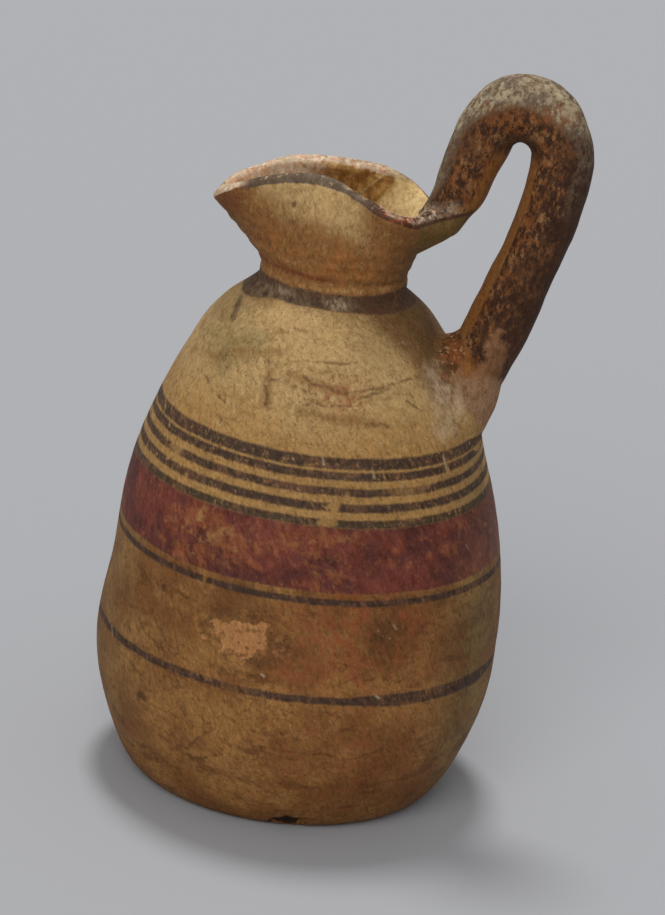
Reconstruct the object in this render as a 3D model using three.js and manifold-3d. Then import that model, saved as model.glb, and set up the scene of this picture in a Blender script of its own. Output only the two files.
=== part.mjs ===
// A small wheel-made oinochoe (wine jug): an ovoid body on a flat base, a short neck with a
// pinched trefoil mouth, and a coil handle that swings high above the rim.
// Millimetres, +Z up. The origin is the centre of the base, the spout points to -X and the
// handle stands on the +X side, in the plane y = 0.
import * as THREE from "three";
import { mergeVertices } from "three/addons/utils/BufferGeometryUtils.js";
import Module from "manifold-3d";

const wasm = await Module();
wasm.setup();

// Body
const BASE_RADIUS = 31;
const HEEL_SPREAD = 6;
const HEEL_RISE = 10.4;
const BELLY_RADIUS = 43.2;
const BELLY_HEIGHT = 31;
const BELLY_FULLNESS = 5;
const BODY_HEIGHT = 111;
const SHOULDER_REACH = 41.8;
const SHOULDER_DROP = 15.5;
const BODY_WALL = 5;
const FLOOR_THICKNESS = 7;

// Neck
const NECK_RADIUS = 15.6;
const NECK_WALL = 4;
const COLLAR_HEIGHT = 3;
const COLLAR_REBATE = 1.3;
const SEAT_MARGIN = 0.6;

// Mouth: reaches and half widths are to the middle of the lip, rises are above the neck's seat
const LIP_THICKNESS = 3.4;
const SPOUT_REACH = 26.8;
const SPOUT_TIP_RISE = 15.4;
const CHEEK_REACH = 22.4;
const CHEEK_HALF_WIDTH = 6.2;
const CHEEK_RISE = 18.6;
const FOLD_REACH = 12;
const FOLD_HALF_WIDTH = 8;
const FOLD_RISE = 22.8;
const PINCH_REACH = 1.5;
const PINCH_HALF_WIDTH = 8.4;
const PINCH_RISE = 23.3;
const LOBE_REACH = 11.4;
const LOBE_HALF_WIDTH = 13.7;
const LOBE_RISE = 18.9;
const BACK_REACH = 18.4;
const BACK_RISE = 16.7;
const SPOUT_FLARE_RISE = 2.2;
const FOLD_FLARE_RISE = 12;
const BACK_FLARE_RISE = 8;
const FOLD_BULGE = 1.2;

// Handle: places are measured from the middle of the back lip, rises are above the lip
const HANDLE_THICKNESS = 11;
const HANDLE_WIDTH = 12.8;
const ROOT_THICKNESS = 7.2;
const ROOT_WIDTH = 10.6;
const ROOT_TAPER = 25;
const FOOT_THICKNESS = 12.6;
const ARCH_RADIUS = 8.8;
const ARCH_REACH = 16.6;
const ARCH_RISE = 18.8;
const ARCH_SWELL = 2;
const LIMB_LEAN = THREE.MathUtils.degToRad(15.5);
const ROOT_SINK = 2.4;
const ROOT_REACH = 4.4;
const KNEE_RISE = 0.4;
const DROP_TANGENT = 14;
const FOOT_DROP = 19;
const FOOT_STAND_OFF = -2.4;
const FOOT_SINK = 10;
const FOOT_TANGENT = 25;
const FOOT_LEAN = THREE.MathUtils.degToRad(17);

// Luting clay, pressed round each join while the parts are leather-hard
const LUTE_EDGE = 0.5;
const LUTE_BULGE = 0.5;
const FOOT_LUTE_SPREAD = 3.4;
const FOOT_LUTE_LENGTH = 17;
const TOP_LUTE_SPREAD = 0.4;
const TOP_LUTE_LENGTH = 10.5;

// Clearance between separate pieces, and how far cutting shapes run past what they cut
const CLEARANCE = 0.3;
const OVERRUN = 12;

// Fineness of the facets
const TURNS = 60;
const OUTLINE_STEPS = 8;
const WALL_STEPS = 9;
const LIP_STEPS = 4;
const HANDLE_STEPS = 52;
const HANDLE_SIDES = 18;
const LUTE_STEPS = 6;

// Solids and geometries

function toGeometry(points, triangles) {
  const geometry = new THREE.BufferGeometry();
  geometry.setAttribute("position", new THREE.Float32BufferAttribute(points.flatMap((p) => p.toArray()), 3));
  geometry.setIndex(triangles);
  return geometry;
}

function toSolid(geometry) {
  const bare = geometry.clone();
  bare.deleteAttribute("normal");
  bare.deleteAttribute("uv");
  const merged = mergeVertices(bare);
  return new wasm.Manifold(
    new wasm.Mesh({
      numProp: 3,
      vertProperties: merged.attributes.position.array,
      triVerts: new Uint32Array(merged.index.array),
    }),
  );
}

function fromSolid(solid) {
  const mesh = solid.getMesh();
  const geometry = new THREE.BufferGeometry();
  geometry.setAttribute("position", new THREE.BufferAttribute(mesh.vertProperties, 3));
  geometry.setIndex(new THREE.BufferAttribute(mesh.triVerts, 1));
  return geometry.toNonIndexed();
}

// A turned form about Z. The outline runs from low to high on the outside, as [radius, height].
function turned(outline) {
  const geometry = new THREE.LatheGeometry(outline, TURNS);
  geometry.rotateX(Math.PI / 2);
  return geometry;
}

// Closed rings of equal length joined one to the next. Each ring runs anticlockwise as seen from
// ahead. `round` joins the last ring to the first, and otherwise both ends are closed by a fan.
function lofted(rings, round) {
  const sides = rings[0].length;
  const points = rings.flat();
  const triangles = [];
  const last = round ? rings.length : rings.length - 1;
  for (let i = 0; i < last; i++) {
    const next = (i + 1) % rings.length;
    for (let j = 0; j < sides; j++) {
      const side = (j + 1) % sides;
      const a = i * sides + j;
      const b = i * sides + side;
      const c = next * sides + side;
      const d = next * sides + j;
      triangles.push(a, b, c, a, c, d);
    }
  }
  if (!round) {
    for (const [ring, forwards] of [[0, false], [rings.length - 1, true]]) {
      const middle = new THREE.Vector3();
      rings[ring].forEach((p) => middle.addScaledVector(p, 1 / sides));
      const hub = points.push(middle) - 1;
      for (let j = 0; j < sides; j++) {
        const a = ring * sides + j;
        const b = ring * sides + ((j + 1) % sides);
        triangles.push(...(forwards ? [a, b, hub] : [b, a, hub]));
      }
    }
  }
  return toGeometry(points, triangles);
}

// Body outline: base, heel curve to the belly, and one long curve over the shoulder to the seat

const SEAT_RADIUS = NECK_RADIUS + SEAT_MARGIN;
const THROAT_RADIUS = NECK_RADIUS - NECK_WALL;

function bodyCurve() {
  const heel = new THREE.CubicBezierCurve(
    new THREE.Vector2(BASE_RADIUS, 0),
    new THREE.Vector2(BASE_RADIUS + HEEL_SPREAD, 0),
    new THREE.Vector2(BELLY_RADIUS, BELLY_HEIGHT - HEEL_RISE),
    new THREE.Vector2(BELLY_RADIUS, BELLY_HEIGHT),
  );
  const shoulder = new THREE.CubicBezierCurve(
    new THREE.Vector2(BELLY_RADIUS, BELLY_HEIGHT),
    new THREE.Vector2(BELLY_RADIUS, BELLY_HEIGHT + BELLY_FULLNESS),
    new THREE.Vector2(SHOULDER_REACH, BODY_HEIGHT - SHOULDER_DROP),
    new THREE.Vector2(SEAT_RADIUS, BODY_HEIGHT),
  );
  return [...heel.getPoints(OUTLINE_STEPS), ...shoulder.getPoints(2 * OUTLINE_STEPS).slice(1)];
}

// The outer curve moved square to itself: outwards for a positive distance.
function bodyOffset(distance) {
  const curve = bodyCurve();
  return curve.map((point, i) => {
    const before = curve[Math.max(i - 1, 0)];
    const after = curve[Math.min(i + 1, curve.length - 1)];
    const along = after.clone().sub(before).normalize();
    return point.clone().add(new THREE.Vector2(along.y, -along.x).multiplyScalar(distance));
  });
}

// Outer radius of the body at a height.
function bodyRadiusAt(height) {
  const curve = bodyCurve();
  const i = curve.findIndex((point) => point.y >= height);
  const [low, high] = [curve[i - 1], curve[i]];
  return THREE.MathUtils.mapLinear(height, low.y, high.y, low.x, high.x);
}

function bodyGeometry() {
  const inner = bodyOffset(-BODY_WALL)
    .filter((point) => point.y > FLOOR_THICKNESS && point.x > THROAT_RADIUS && point.y < BODY_HEIGHT)
    .reverse();
  return turned([
    new THREE.Vector2(0, 0),
    ...bodyCurve(),
    new THREE.Vector2(THROAT_RADIUS, BODY_HEIGHT),
    new THREE.Vector2(THROAT_RADIUS, inner[0].y),
    ...inner,
    new THREE.Vector2(inner[inner.length - 1].x - BODY_WALL, FLOOR_THICKNESS),
    new THREE.Vector2(0, FLOOR_THICKNESS),
  ]);
}

// The body filled solid and swollen by the clearance: cuts whatever sits on the body.
function bodyCutter() {
  const swollen = bodyOffset(CLEARANCE);
  const top = swollen[swollen.length - 1].y;
  return toSolid(turned([new THREE.Vector2(0, -CLEARANCE), ...swollen, new THREE.Vector2(0, top)]));
}

// Mouth: the middle line of the lip, as a closed curve that starts at the back

function rimCurve() {
  const back = [BACK_REACH, 0, BACK_RISE];
  const tip = [-SPOUT_REACH, 0, SPOUT_TIP_RISE];
  const left = [
    [LOBE_REACH, LOBE_HALF_WIDTH, LOBE_RISE],
    [-PINCH_REACH, PINCH_HALF_WIDTH, PINCH_RISE],
    [-FOLD_REACH, FOLD_HALF_WIDTH, FOLD_RISE],
    [-CHEEK_REACH, CHEEK_HALF_WIDTH, CHEEK_RISE],
  ];
  const right = left.map(([x, y, z]) => [x, -y, z]).reverse();
  const places = [back, ...left, tip, ...right];
  const points = places.map(([x, y, z]) => new THREE.Vector3(x, y, BODY_HEIGHT + z));
  return new THREE.CatmullRomCurve3(points, true, "centripetal");
}

const rim = rimCurve();
const collarTop = BODY_HEIGHT + COLLAR_HEIGHT;
const wallMiddleRadius = NECK_RADIUS - NECK_WALL / 2;

// How far a wall rises straight before it flares, by the direction it faces.
function flareRise(angle) {
  const facing = Math.cos(angle);
  const end = facing < 0 ? SPOUT_FLARE_RISE : BACK_FLARE_RISE;
  return THREE.MathUtils.lerp(FOLD_FLARE_RISE, end, facing * facing);
}

// A point of the middle surface of the neck's wall: turn runs round from the back, climb from
// the collar (0) to the lip (1).
function wallPoint(turn, climb) {
  const angle = 2 * Math.PI * turn;
  const bulge = FOLD_BULGE * Math.sin(angle) ** 2;
  const foot = new THREE.Vector3(Math.cos(angle), Math.sin(angle), 0).multiplyScalar(wallMiddleRadius);
  const knee = foot.clone().multiplyScalar((wallMiddleRadius + bulge) / wallMiddleRadius);
  foot.z = collarTop;
  knee.z = collarTop + flareRise(angle);
  const lip = rim.getPointAt(((turn % 1) + 1) % 1);
  return new THREE.QuadraticBezierCurve3(foot, knee, lip).getPoint(climb);
}

// Directions of the wall there: up along it, and out through it, which is level at the collar.
function wallFrame(turn, climb) {
  const step = 1 / (4 * TURNS);
  const across = wallPoint(turn + step, climb).sub(wallPoint(turn - step, climb));
  const high = Math.min(climb + step, 1);
  const up = wallPoint(turn, high).sub(wallPoint(turn, Math.max(climb - step, 0)));
  up.normalize();
  const out = across.cross(up);
  out.z *= climb;
  return { up, out: out.normalize() };
}

// One upright slice of the wall, from the collar up the outside, over the lip and down inside.
function wallSlice(turn, grow) {
  const outside = [];
  const inside = [];
  for (let i = 0; i <= WALL_STEPS; i++) {
    const climb = i / WALL_STEPS;
    const half = THREE.MathUtils.lerp(NECK_WALL, LIP_THICKNESS, climb) / 2 + grow;
    const { out } = wallFrame(turn, climb);
    const middle = wallPoint(turn, climb);
    outside.push(middle.clone().addScaledVector(out, half));
    inside.unshift(middle.clone().addScaledVector(out, -half));
  }
  const { up, out } = wallFrame(turn, 1);
  const lip = [];
  for (let i = 1; i < LIP_STEPS; i++) {
    const angle = (Math.PI * i) / LIP_STEPS;
    const reach = LIP_THICKNESS / 2 + grow;
    lip.push(
      wallPoint(turn, 1)
        .addScaledVector(out, reach * Math.cos(angle))
        .addScaledVector(up, reach * Math.sin(angle)),
    );
  }
  return { outside, lip, inside };
}

function ringPoint(turn, radius, height) {
  const angle = 2 * Math.PI * turn;
  return new THREE.Vector3(radius * Math.cos(angle), radius * Math.sin(angle), height);
}

function neckGeometry() {
  const slices = [];
  for (let i = 0; i < TURNS; i++) {
    const turn = i / TURNS;
    const { outside, lip, inside } = wallSlice(turn, 0);
    const foot = [
      ringPoint(turn, THROAT_RADIUS, BODY_HEIGHT),
      ringPoint(turn, NECK_RADIUS - COLLAR_REBATE, BODY_HEIGHT),
      ringPoint(turn, NECK_RADIUS - COLLAR_REBATE, collarTop),
    ];
    slices.push([...foot, ...outside, ...lip, ...inside].reverse());
  }
  return lofted(slices, true);
}

// The neck filled solid and swollen by the clearance, with the way out of the mouth kept free
// above it: cuts whatever sits against the neck.
function neckCutter() {
  const rings = [];
  const mouth = [];
  for (let i = 0; i < TURNS; i++) {
    const turn = i / TURNS;
    const { outside, lip, inside } = wallSlice(turn, CLEARANCE);
    const foot = ringPoint(turn, NECK_RADIUS + CLEARANCE, BODY_HEIGHT);
    rings.push([foot, ...outside, ...lip]);
    mouth.push(inside[0]);
  }
  const columns = rings[0].length;
  const levels = [];
  for (let j = 0; j < columns; j++) levels.push(rings.map((column) => column[j]));
  const above = mouth.map((point) => point.clone().setZ(point.z + OVERRUN));
  return toSolid(lofted(levels, false)).add(toSolid(lofted([mouth, above], false)));
}

// Luting ring in the rebate at the neck's foot
function neckLuteGeometry() {
  const inner = NECK_RADIUS - COLLAR_REBATE + CLEARANCE;
  const top = collarTop - CLEARANCE;
  const bead = new THREE.QuadraticBezierCurve(
    new THREE.Vector2(NECK_RADIUS, BODY_HEIGHT),
    new THREE.Vector2(NECK_RADIUS + 2 * LUTE_BULGE, (BODY_HEIGHT + top) / 2),
    new THREE.Vector2(NECK_RADIUS, top),
  ).getPoints(LUTE_STEPS);
  const outline = [new THREE.Vector2(inner, BODY_HEIGHT), ...bead, new THREE.Vector2(inner, top)];
  return turned([...outline, outline[0]]);
}

// Handle: its middle line in the plane y = 0, as a flat path of [x, z]

function handlePath() {
  const back = new THREE.Vector2(BACK_REACH, BODY_HEIGHT + BACK_RISE);
  const archCentre = new THREE.Vector2(back.x + ARCH_REACH, back.y + ARCH_RISE);
  const limb = new THREE.Vector2(Math.sin(LIMB_LEAN), Math.cos(LIMB_LEAN));
  const archStart = archCentre.clone().add(new THREE.Vector2(-limb.y, limb.x).multiplyScalar(ARCH_RADIUS));
  const start = new THREE.Vector2(back.x - ROOT_REACH, back.y - ROOT_SINK);
  const knee = archStart.clone().addScaledVector(limb, (back.y + KNEE_RISE - archStart.y) / limb.y);
  const footHeight = BODY_HEIGHT - FOOT_DROP;
  const foot = new THREE.Vector2(bodyRadiusAt(footHeight) + FOOT_STAND_OFF, footHeight);
  const down = new THREE.Vector2(-Math.sin(FOOT_LEAN), -Math.cos(FOOT_LEAN));
  const path = new THREE.Path();
  path.moveTo(start.x, start.y);
  path.quadraticCurveTo(knee.x, knee.y, (knee.x + archStart.x) / 2, (knee.y + archStart.y) / 2);
  path.lineTo(archStart.x, archStart.y);
  path.absarc(archCentre.x, archCentre.y, ARCH_RADIUS, Math.PI - LIMB_LEAN, 0, true);
  path.bezierCurveTo(
    archCentre.x + ARCH_RADIUS,
    archCentre.y - DROP_TANGENT,
    foot.x - down.x * FOOT_TANGENT,
    foot.y - down.y * FOOT_TANGENT,
    foot.x,
    foot.y,
  );
  path.lineTo(foot.x + down.x * FOOT_SINK, foot.y + down.y * FOOT_SINK);
  return path;
}

const handleLine = handlePath();
const handleLength = handleLine.getLength();

// Height of the arch above its springing, from 0 at the lip to 1 at the crown.
function archShare(z) {
  const crown = BODY_HEIGHT + BACK_RISE + ARCH_RISE + ARCH_RADIUS;
  return THREE.MathUtils.smoothstep(z, crown - 2 * ARCH_RADIUS, crown);
}

// An oval section of the handle at a share of its length, grown and shifted in its own plane.
function handleRing(share, grow, shift) {
  const at = handleLine.getPointAt(share);
  const tangent = handleLine.getTangentAt(share);
  const middle = new THREE.Vector3(at.x, 0, at.y);
  const inwards = new THREE.Vector3(tangent.y, 0, -tangent.x);
  const sideways = new THREE.Vector3(0, 1, 0);
  const full = THREE.MathUtils.smoothstep(share * handleLength, 0, ROOT_TAPER);
  const limb = THREE.MathUtils.lerp(HANDLE_THICKNESS, FOOT_THICKNESS, share);
  const coil = THREE.MathUtils.lerp(ROOT_THICKNESS, limb, full);
  const thick = (coil + ARCH_SWELL * archShare(at.y)) / 2 + grow;
  const wide = THREE.MathUtils.lerp(ROOT_WIDTH, HANDLE_WIDTH, full) / 2 + grow;
  const ring = [];
  for (let j = 0; j < HANDLE_SIDES; j++) {
    const angle = (2 * Math.PI * j) / HANDLE_SIDES;
    ring.push(
      middle
        .clone()
        .addScaledVector(inwards, thick * Math.cos(angle) + shift)
        .addScaledVector(sideways, wide * Math.sin(angle)),
    );
  }
  return ring;
}

function handleSweep(grow) {
  const rings = [];
  for (let i = 0; i <= HANDLE_STEPS; i++) rings.push(handleRing(i / HANDLE_STEPS, grow, 0));
  return toSolid(lofted(rings, false));
}

// A trumpet of clay round one end of the handle. `lean` moves it to the handle's inner side, as a
// share of its own thickness there.
function luteSweep(from, to, spread, lean) {
  const rings = [];
  for (let i = 0; i <= LUTE_STEPS; i++) {
    const share = i / LUTE_STEPS;
    const along = THREE.MathUtils.lerp(from, to, share) / handleLength;
    const flare = (1 - share) ** 2;
    const grow = LUTE_EDGE + CLEARANCE + spread * flare;
    rings.push(handleRing(along, grow, lean * grow));
  }
  if (from > to) rings.reverse();
  return toSolid(lofted(rings, false));
}

const bodyCut = bodyCutter();
const neckCut = neckCutter();
const handleCut = handleSweep(CLEARANCE);

function largest(solid) {
  return solid.decompose().sort((a, b) => b.volume() - a.volume())[0];
}

const handleGeometry = () => fromSolid(largest(handleSweep(0).subtract(bodyCut).subtract(neckCut)));

function footLuteGeometry() {
  const foot = handleLength - FOOT_SINK;
  const sweep = luteSweep(foot + FOOT_SINK / 2, foot - FOOT_LUTE_LENGTH, FOOT_LUTE_SPREAD, 0);
  return fromSolid(largest(sweep.subtract(handleCut).subtract(bodyCut)));
}

function topLuteGeometry() {
  const sweep = luteSweep(0, TOP_LUTE_LENGTH, TOP_LUTE_SPREAD, 1);
  return fromSolid(largest(sweep.subtract(handleCut).subtract(neckCut).subtract(bodyCut)));
}

// Clay colours, as fired

const clay = (color, roughness) => new THREE.MeshStandardMaterial({ color, roughness, metalness: 0 });
const buffSlip = clay(0xb09a68, 0.62);
const paleSlip = clay(0xa88a58, 0.66);
const darkPaint = clay(0x4a382b, 0.6);
const bareClay = clay(0x94714b, 0.8);

const jug = new THREE.Group();
const pieces = [
  ["body", bodyGeometry(), buffSlip],
  ["neck_and_mouth", neckGeometry(), paleSlip],
  ["neck_lute", neckLuteGeometry(), bareClay],
  ["handle", handleGeometry(), darkPaint],
  ["handle_top_lute", topLuteGeometry(), bareClay],
  ["handle_foot_lute", footLuteGeometry(), bareClay],
];
for (const [name, geometry, material] of pieces) {
  const mesh = new THREE.Mesh(geometry, material);
  mesh.name = name;
  jug.add(mesh);
}

export default jug;
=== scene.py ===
import math
from functools import reduce

import bpy
import numpy as np
from mathutils import Matrix, Vector, noise
from mathutils.bvhtree import BVHTree


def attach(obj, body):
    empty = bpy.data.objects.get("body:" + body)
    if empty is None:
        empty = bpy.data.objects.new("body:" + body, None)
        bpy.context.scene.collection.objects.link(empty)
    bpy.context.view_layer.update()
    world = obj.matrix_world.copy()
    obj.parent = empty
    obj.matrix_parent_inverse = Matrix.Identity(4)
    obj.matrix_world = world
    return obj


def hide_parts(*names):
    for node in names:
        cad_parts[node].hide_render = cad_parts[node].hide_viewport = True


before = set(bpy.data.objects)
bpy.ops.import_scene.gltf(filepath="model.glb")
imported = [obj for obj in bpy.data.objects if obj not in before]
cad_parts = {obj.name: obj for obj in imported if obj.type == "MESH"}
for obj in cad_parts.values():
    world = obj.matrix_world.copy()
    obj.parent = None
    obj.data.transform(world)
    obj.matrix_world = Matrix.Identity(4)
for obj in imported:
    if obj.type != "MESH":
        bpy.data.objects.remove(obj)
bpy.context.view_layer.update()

MM = 0.001

# Sizes of the jug in millimetres, as in its CAD source. The spout points to -X, the handle to +X.
BASE_RADIUS = 31
HEEL_SPREAD = 6
HEEL_RISE = 10.4
BELLY_RADIUS = 43.2
BELLY_HEIGHT = 31
BELLY_FULLNESS = 5
BODY_HEIGHT = 111
SHOULDER_REACH = 41.8
SHOULDER_DROP = 15.5
BODY_WALL = 5
FLOOR_THICKNESS = 7
NECK_RADIUS = 15.6
NECK_WALL = 4
COLLAR_HEIGHT = 3
SEAT_RADIUS = 16.2
SEAT_STEP = 14
THROAT_RADIUS = NECK_RADIUS - NECK_WALL
COLLAR_TOP = BODY_HEIGHT + COLLAR_HEIGHT
WALL_MIDDLE_RADIUS = NECK_RADIUS - NECK_WALL / 2

LIP_THICKNESS = 3.4
LIP_SQUARENESS = 2.6
SPOUT_FLARE_RISE = 2.2
FOLD_FLARE_RISE = 12
BACK_FLARE_RISE = 8
FOLD_BULGE = 1.2
BACK_REACH = 18.4
BACK_RISE = 16.7
# Middle line of the lip from the back round to the spout: reach, half width, rise above the body.
LIP_PLACES = [
    (BACK_REACH, 0, BACK_RISE),
    (11.4, 13.7, 18.9),
    (-1.5, 8.4, 23.3),
    (-12, 8, 22.8),
    (-22.4, 6.2, 18.6),
    (-26.8, 0, 15.4),
]

HANDLE_THICKNESS = 11
HANDLE_WIDTH = 12.8
ROOT_THICKNESS = 7.2
ROOT_WIDTH = 10.6
ROOT_TAPER = 25
FOOT_THICKNESS = 12.6
ARCH_RADIUS = 8.8
ARCH_REACH = 16.6
ARCH_RISE = 18.8
ARCH_SWELL = 2
LIMB_LEAN = math.radians(15.5)
ROOT_SINK = 2.4
ROOT_REACH = 4.4
KNEE_RISE = 0.4
DROP_TANGENT = 14
FOOT_DROP = 19
FOOT_STAND_OFF = -2.4
FOOT_SINK = 10
FOOT_TANGENT = 25
FOOT_LEAN = math.radians(17)
ARCH_X = BACK_REACH + ARCH_REACH
ARCH_Z = BODY_HEIGHT + BACK_RISE + ARCH_RISE

# Fineness of the meshes
BODY_TURNS = 360
BODY_ROWS = 240
BASE_ROWS = 16
THROAT_ROWS = 6
INSIDE_ROWS = 90
FLOOR_ROWS = 14
NECK_TURNS = 360
NECK_ROWS = 80
COLLAR_ROWS = 3
LIP_ROWS = 14
HANDLE_ROWS = 300
HANDLE_SIDES = 84
FILLET_ROWS = 26
ROOT_ROWS = 90
FOOT_ROWS = 110

# Where hands pressed the clay in or left it proud: the middle, the reach along X, Y and Z, and how far
BODY_PRESSES = [
    ((25.5, 2, 102.5), (7, 15, 5), -1.6),
    ((38, 4, 79), (9, 22, 10), -1.35),
    ((43, 6, 46), (14, 40, 16), 0.95),
    ((-42, -6, 47), (12, 30, 9), -0.7),
    ((-40, -6, 68), (12, 24, 9), 0.45),
    ((-17.5, -3, 108), (4, 12, 2.2), -0.5),
    ((0, 0, 22), (70, 70, 8), 0.5),
]
HANDLE_PRESSES = [
    ((22.8, 0, 127), (3.6, 9, 3.6), 1.25),
    ((24, 0, 153.5), (6, 12, 7), -1.15),
    ((38, 0, 161), (11, 10, 5), 0.45),
    ((51, 0, 153), (5, 12, 6), -0.7),
    ((19.5, 0, 140), (3.5, 10, 6), 0.35),
    ((27.5, 0, 134.5), (4.5, 9, 6), 1.2),
    ((31.5, 0, 144.5), (4, 9, 6), 0.45),
    ((46, 0, 130), (9, 12, 18), 0.75),
    ((40, 0, 103), (7, 12, 14), 1.2),
]
COLLAR_PRESSES = [((37.5, 0, 93), (5, 10, 9), 1.9)]
FLAKE_CENTRE = (-3.2, -42.5, 44.9)
FLAKE_REACH = (6.8, 6, 4.3)
FLAKE_DEPTH = 0.26
CHIP_CENTRE = (9.6, -33, 1.6)
CHIP_REACH = (5, 3, 1.8)
CHIP_DEPTH = 1.0

# Camera: fitted to the photograph's outlines and painted rings
PHOTO_HEIGHT = 915
FOCAL_PIXELS = 3812
SENSOR = 36
CAMERA_DISTANCE = 818.9
CAMERA_ELEVATION = math.radians(19.42)
CAMERA_ROLL = math.radians(6.94)
VESSEL_TURN = math.radians(10)
TARGET_ACROSS = 3.36
TARGET_HEIGHT = 72.45


def vessel_axes(across, away, up):
    """A direction or place given across, away from and above, as the camera stands, in the jug's axes."""
    c, s = math.cos(VESSEL_TURN), math.sin(VESSEL_TURN)
    return Vector((across * c - away * s, across * s + away * c, up))


def place_object(name, data):
    thing = bpy.data.objects.new(name, data)
    bpy.context.scene.collection.objects.link(thing)
    return thing


def make_camera():
    low, roll = CAMERA_ELEVATION, CAMERA_ROLL
    forward = vessel_axes(0, math.cos(low), -math.sin(low))
    level = vessel_axes(1, 0, 0)
    upward = vessel_axes(0, math.sin(low), math.cos(low))
    right = level * math.cos(roll) + upward * math.sin(roll)
    top = upward * math.cos(roll) - level * math.sin(roll)
    target = vessel_axes(TARGET_ACROSS, 0, TARGET_HEIGHT)
    data = bpy.data.cameras.new("camera")
    data.sensor_width = SENSOR
    data.sensor_fit = "AUTO"
    data.lens = FOCAL_PIXELS / PHOTO_HEIGHT * SENSOR
    data.clip_start = 0.05
    data.clip_end = 50
    camera = place_object("camera", data)
    turn = Matrix((right, top, -forward)).transposed().to_4x4()
    camera.matrix_world = Matrix.Translation((target - forward * CAMERA_DISTANCE) * MM) @ turn
    bpy.context.scene.camera = camera


# Curves and surfaces, as arrays of points in millimetres

def smoothstep(x, low, high):
    t = np.clip((np.asarray(x, float) - low) / (high - low), 0, 1)
    return t * t * (3 - 2 * t)


def between(x, start, full, fade, end):
    """1 from full to fade, 0 before start and past end, and smooth on the way."""
    return smoothstep(x, start, full) * smoothstep(-x, -end, -fade)


def bell(x, middle, width):
    """1 at the middle, falling off smoothly on both sides."""
    return np.exp(-((x - middle) / width) ** 2)


def unit(v):
    return v / np.maximum(np.linalg.norm(v, axis=-1, keepdims=True), 1e-12)


def around(count):
    """Angles evenly spaced round a full turn."""
    return np.linspace(0, 2 * math.pi, count, endpoint=False)


def bezier(points, t):
    """A Bezier curve of any degree through its first and last points, at each t."""
    layers = [np.asarray(p, float)[None, :] * np.ones((len(t), 1)) for p in points]
    t = np.asarray(t, float)[:, None]
    while len(layers) > 1:
        layers = [a * (1 - t) + b * t for a, b in zip(layers, layers[1:])]
    return layers[0]


def run_of(points):
    """The length of a path up to each of its points."""
    return np.concatenate([[0], np.cumsum(np.linalg.norm(np.diff(points, axis=0), axis=1))])


def at_shares(share, run, points):
    """The points of a path where its run has each value."""
    return np.stack([np.interp(share, run, column) for column in points.T], axis=1)


def even(points, count):
    """The same open path with its points spaced evenly."""
    run = run_of(points)
    return at_shares(np.linspace(0, run[-1], count), run, points)


def body_curve():
    """The outer profile from the edge of the base to the neck's seat, as radius and height."""
    t = np.linspace(0, 1, 400)
    heel = bezier([(BASE_RADIUS, 0), (BASE_RADIUS + HEEL_SPREAD, 0),
                   (BELLY_RADIUS, BELLY_HEIGHT - HEEL_RISE), (BELLY_RADIUS, BELLY_HEIGHT)], t)
    shoulder = bezier([(BELLY_RADIUS, BELLY_HEIGHT), (BELLY_RADIUS, BELLY_HEIGHT + BELLY_FULLNESS),
                       (SHOULDER_REACH, BODY_HEIGHT - SHOULDER_DROP), (SEAT_RADIUS, BODY_HEIGHT)], t)
    return np.concatenate([heel, shoulder[1:]])


BODY_CURVE = body_curve()


def body_radius(height):
    return np.interp(height, BODY_CURVE[:, 1], BODY_CURVE[:, 0])


def body_inside():
    """The profile of the hollow, from the throat down to the floor."""
    along = unit(np.gradient(BODY_CURVE, axis=0))
    inner = BODY_CURVE - BODY_WALL * np.stack([along[:, 1], -along[:, 0]], axis=1)
    keep = (inner[:, 1] > FLOOR_THICKNESS) & (inner[:, 0] > THROAT_RADIUS) & (inner[:, 1] < BODY_HEIGHT)
    return inner[keep][::-1]


def fractal(points, size, octaves, seed):
    """Smooth noise of about that size in millimetres at each point, from -1 to 1."""
    flat = points.reshape(-1, 3) / size + seed
    values = np.zeros(len(flat))
    for octave in range(octaves):
        scaled = flat * 2 ** octave + 7.3 * octave
        values += 0.5 ** octave * np.array([noise.noise(p) for p in scaled.tolist()])
    return values.reshape(points.shape[:-1])


def moved_out(rows, relief):
    """Rows of points moved out along their normals. They run round the form, anticlockwise from above."""
    sideways = np.roll(rows, -1, axis=1) - np.roll(rows, 1, axis=1)
    return rows + unit(np.cross(sideways, np.gradient(rows, axis=0))) * relief[..., None]


def hand_lean(points):
    """The potter's small unevenness of the form: the neck's foot stands a little towards the spout, the
    neck is drawn in towards its foot below the handle, and the lip rises in places."""
    x, y, z = np.moveaxis(points, -1, 0)
    lean = 0.85 * between(z, 92, 103, 113, 126) * smoothstep(-x, -25, -15)
    waist = 0.5 * between(z, 102, 110, 114, 120.5) * between(x, 2, 12, 22, 30)
    rise = 0.95 * bell(x, 11, 6.5) * smoothstep(-y, 1, 5)
    rise += (1.25 * bell(x, 5, 6) + 0.35 * bell(x, -17, 5)) * smoothstep(y, 1, 5)
    rise += 0.7 * bell(x, -26, 3.6) * smoothstep(y, 0, 3)
    return points + np.stack([-lean - waist, np.zeros_like(y), rise * between(z, 120, 127, 136, 138)], axis=-1)


def pressed(points, presses):
    """How far the surface stands proud, or lies pressed in (-), because of hands' presses."""
    return sum(height * np.exp(-(((points - np.array(centre)) / reach) ** 2).sum(axis=-1))
               for centre, reach, height in presses)


# Meshes

def ring_faces(count, sides, round_rows):
    """Faces between neighbouring rows of points, each row a closed ring."""
    faces = []
    for i in range(count if round_rows else count - 1):
        a, b = i * sides, (i + 1) % count * sides
        faces += [(a + j, a + (j + 1) % sides, b + (j + 1) % sides, b + j) for j in range(sides)]
    return faces


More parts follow.
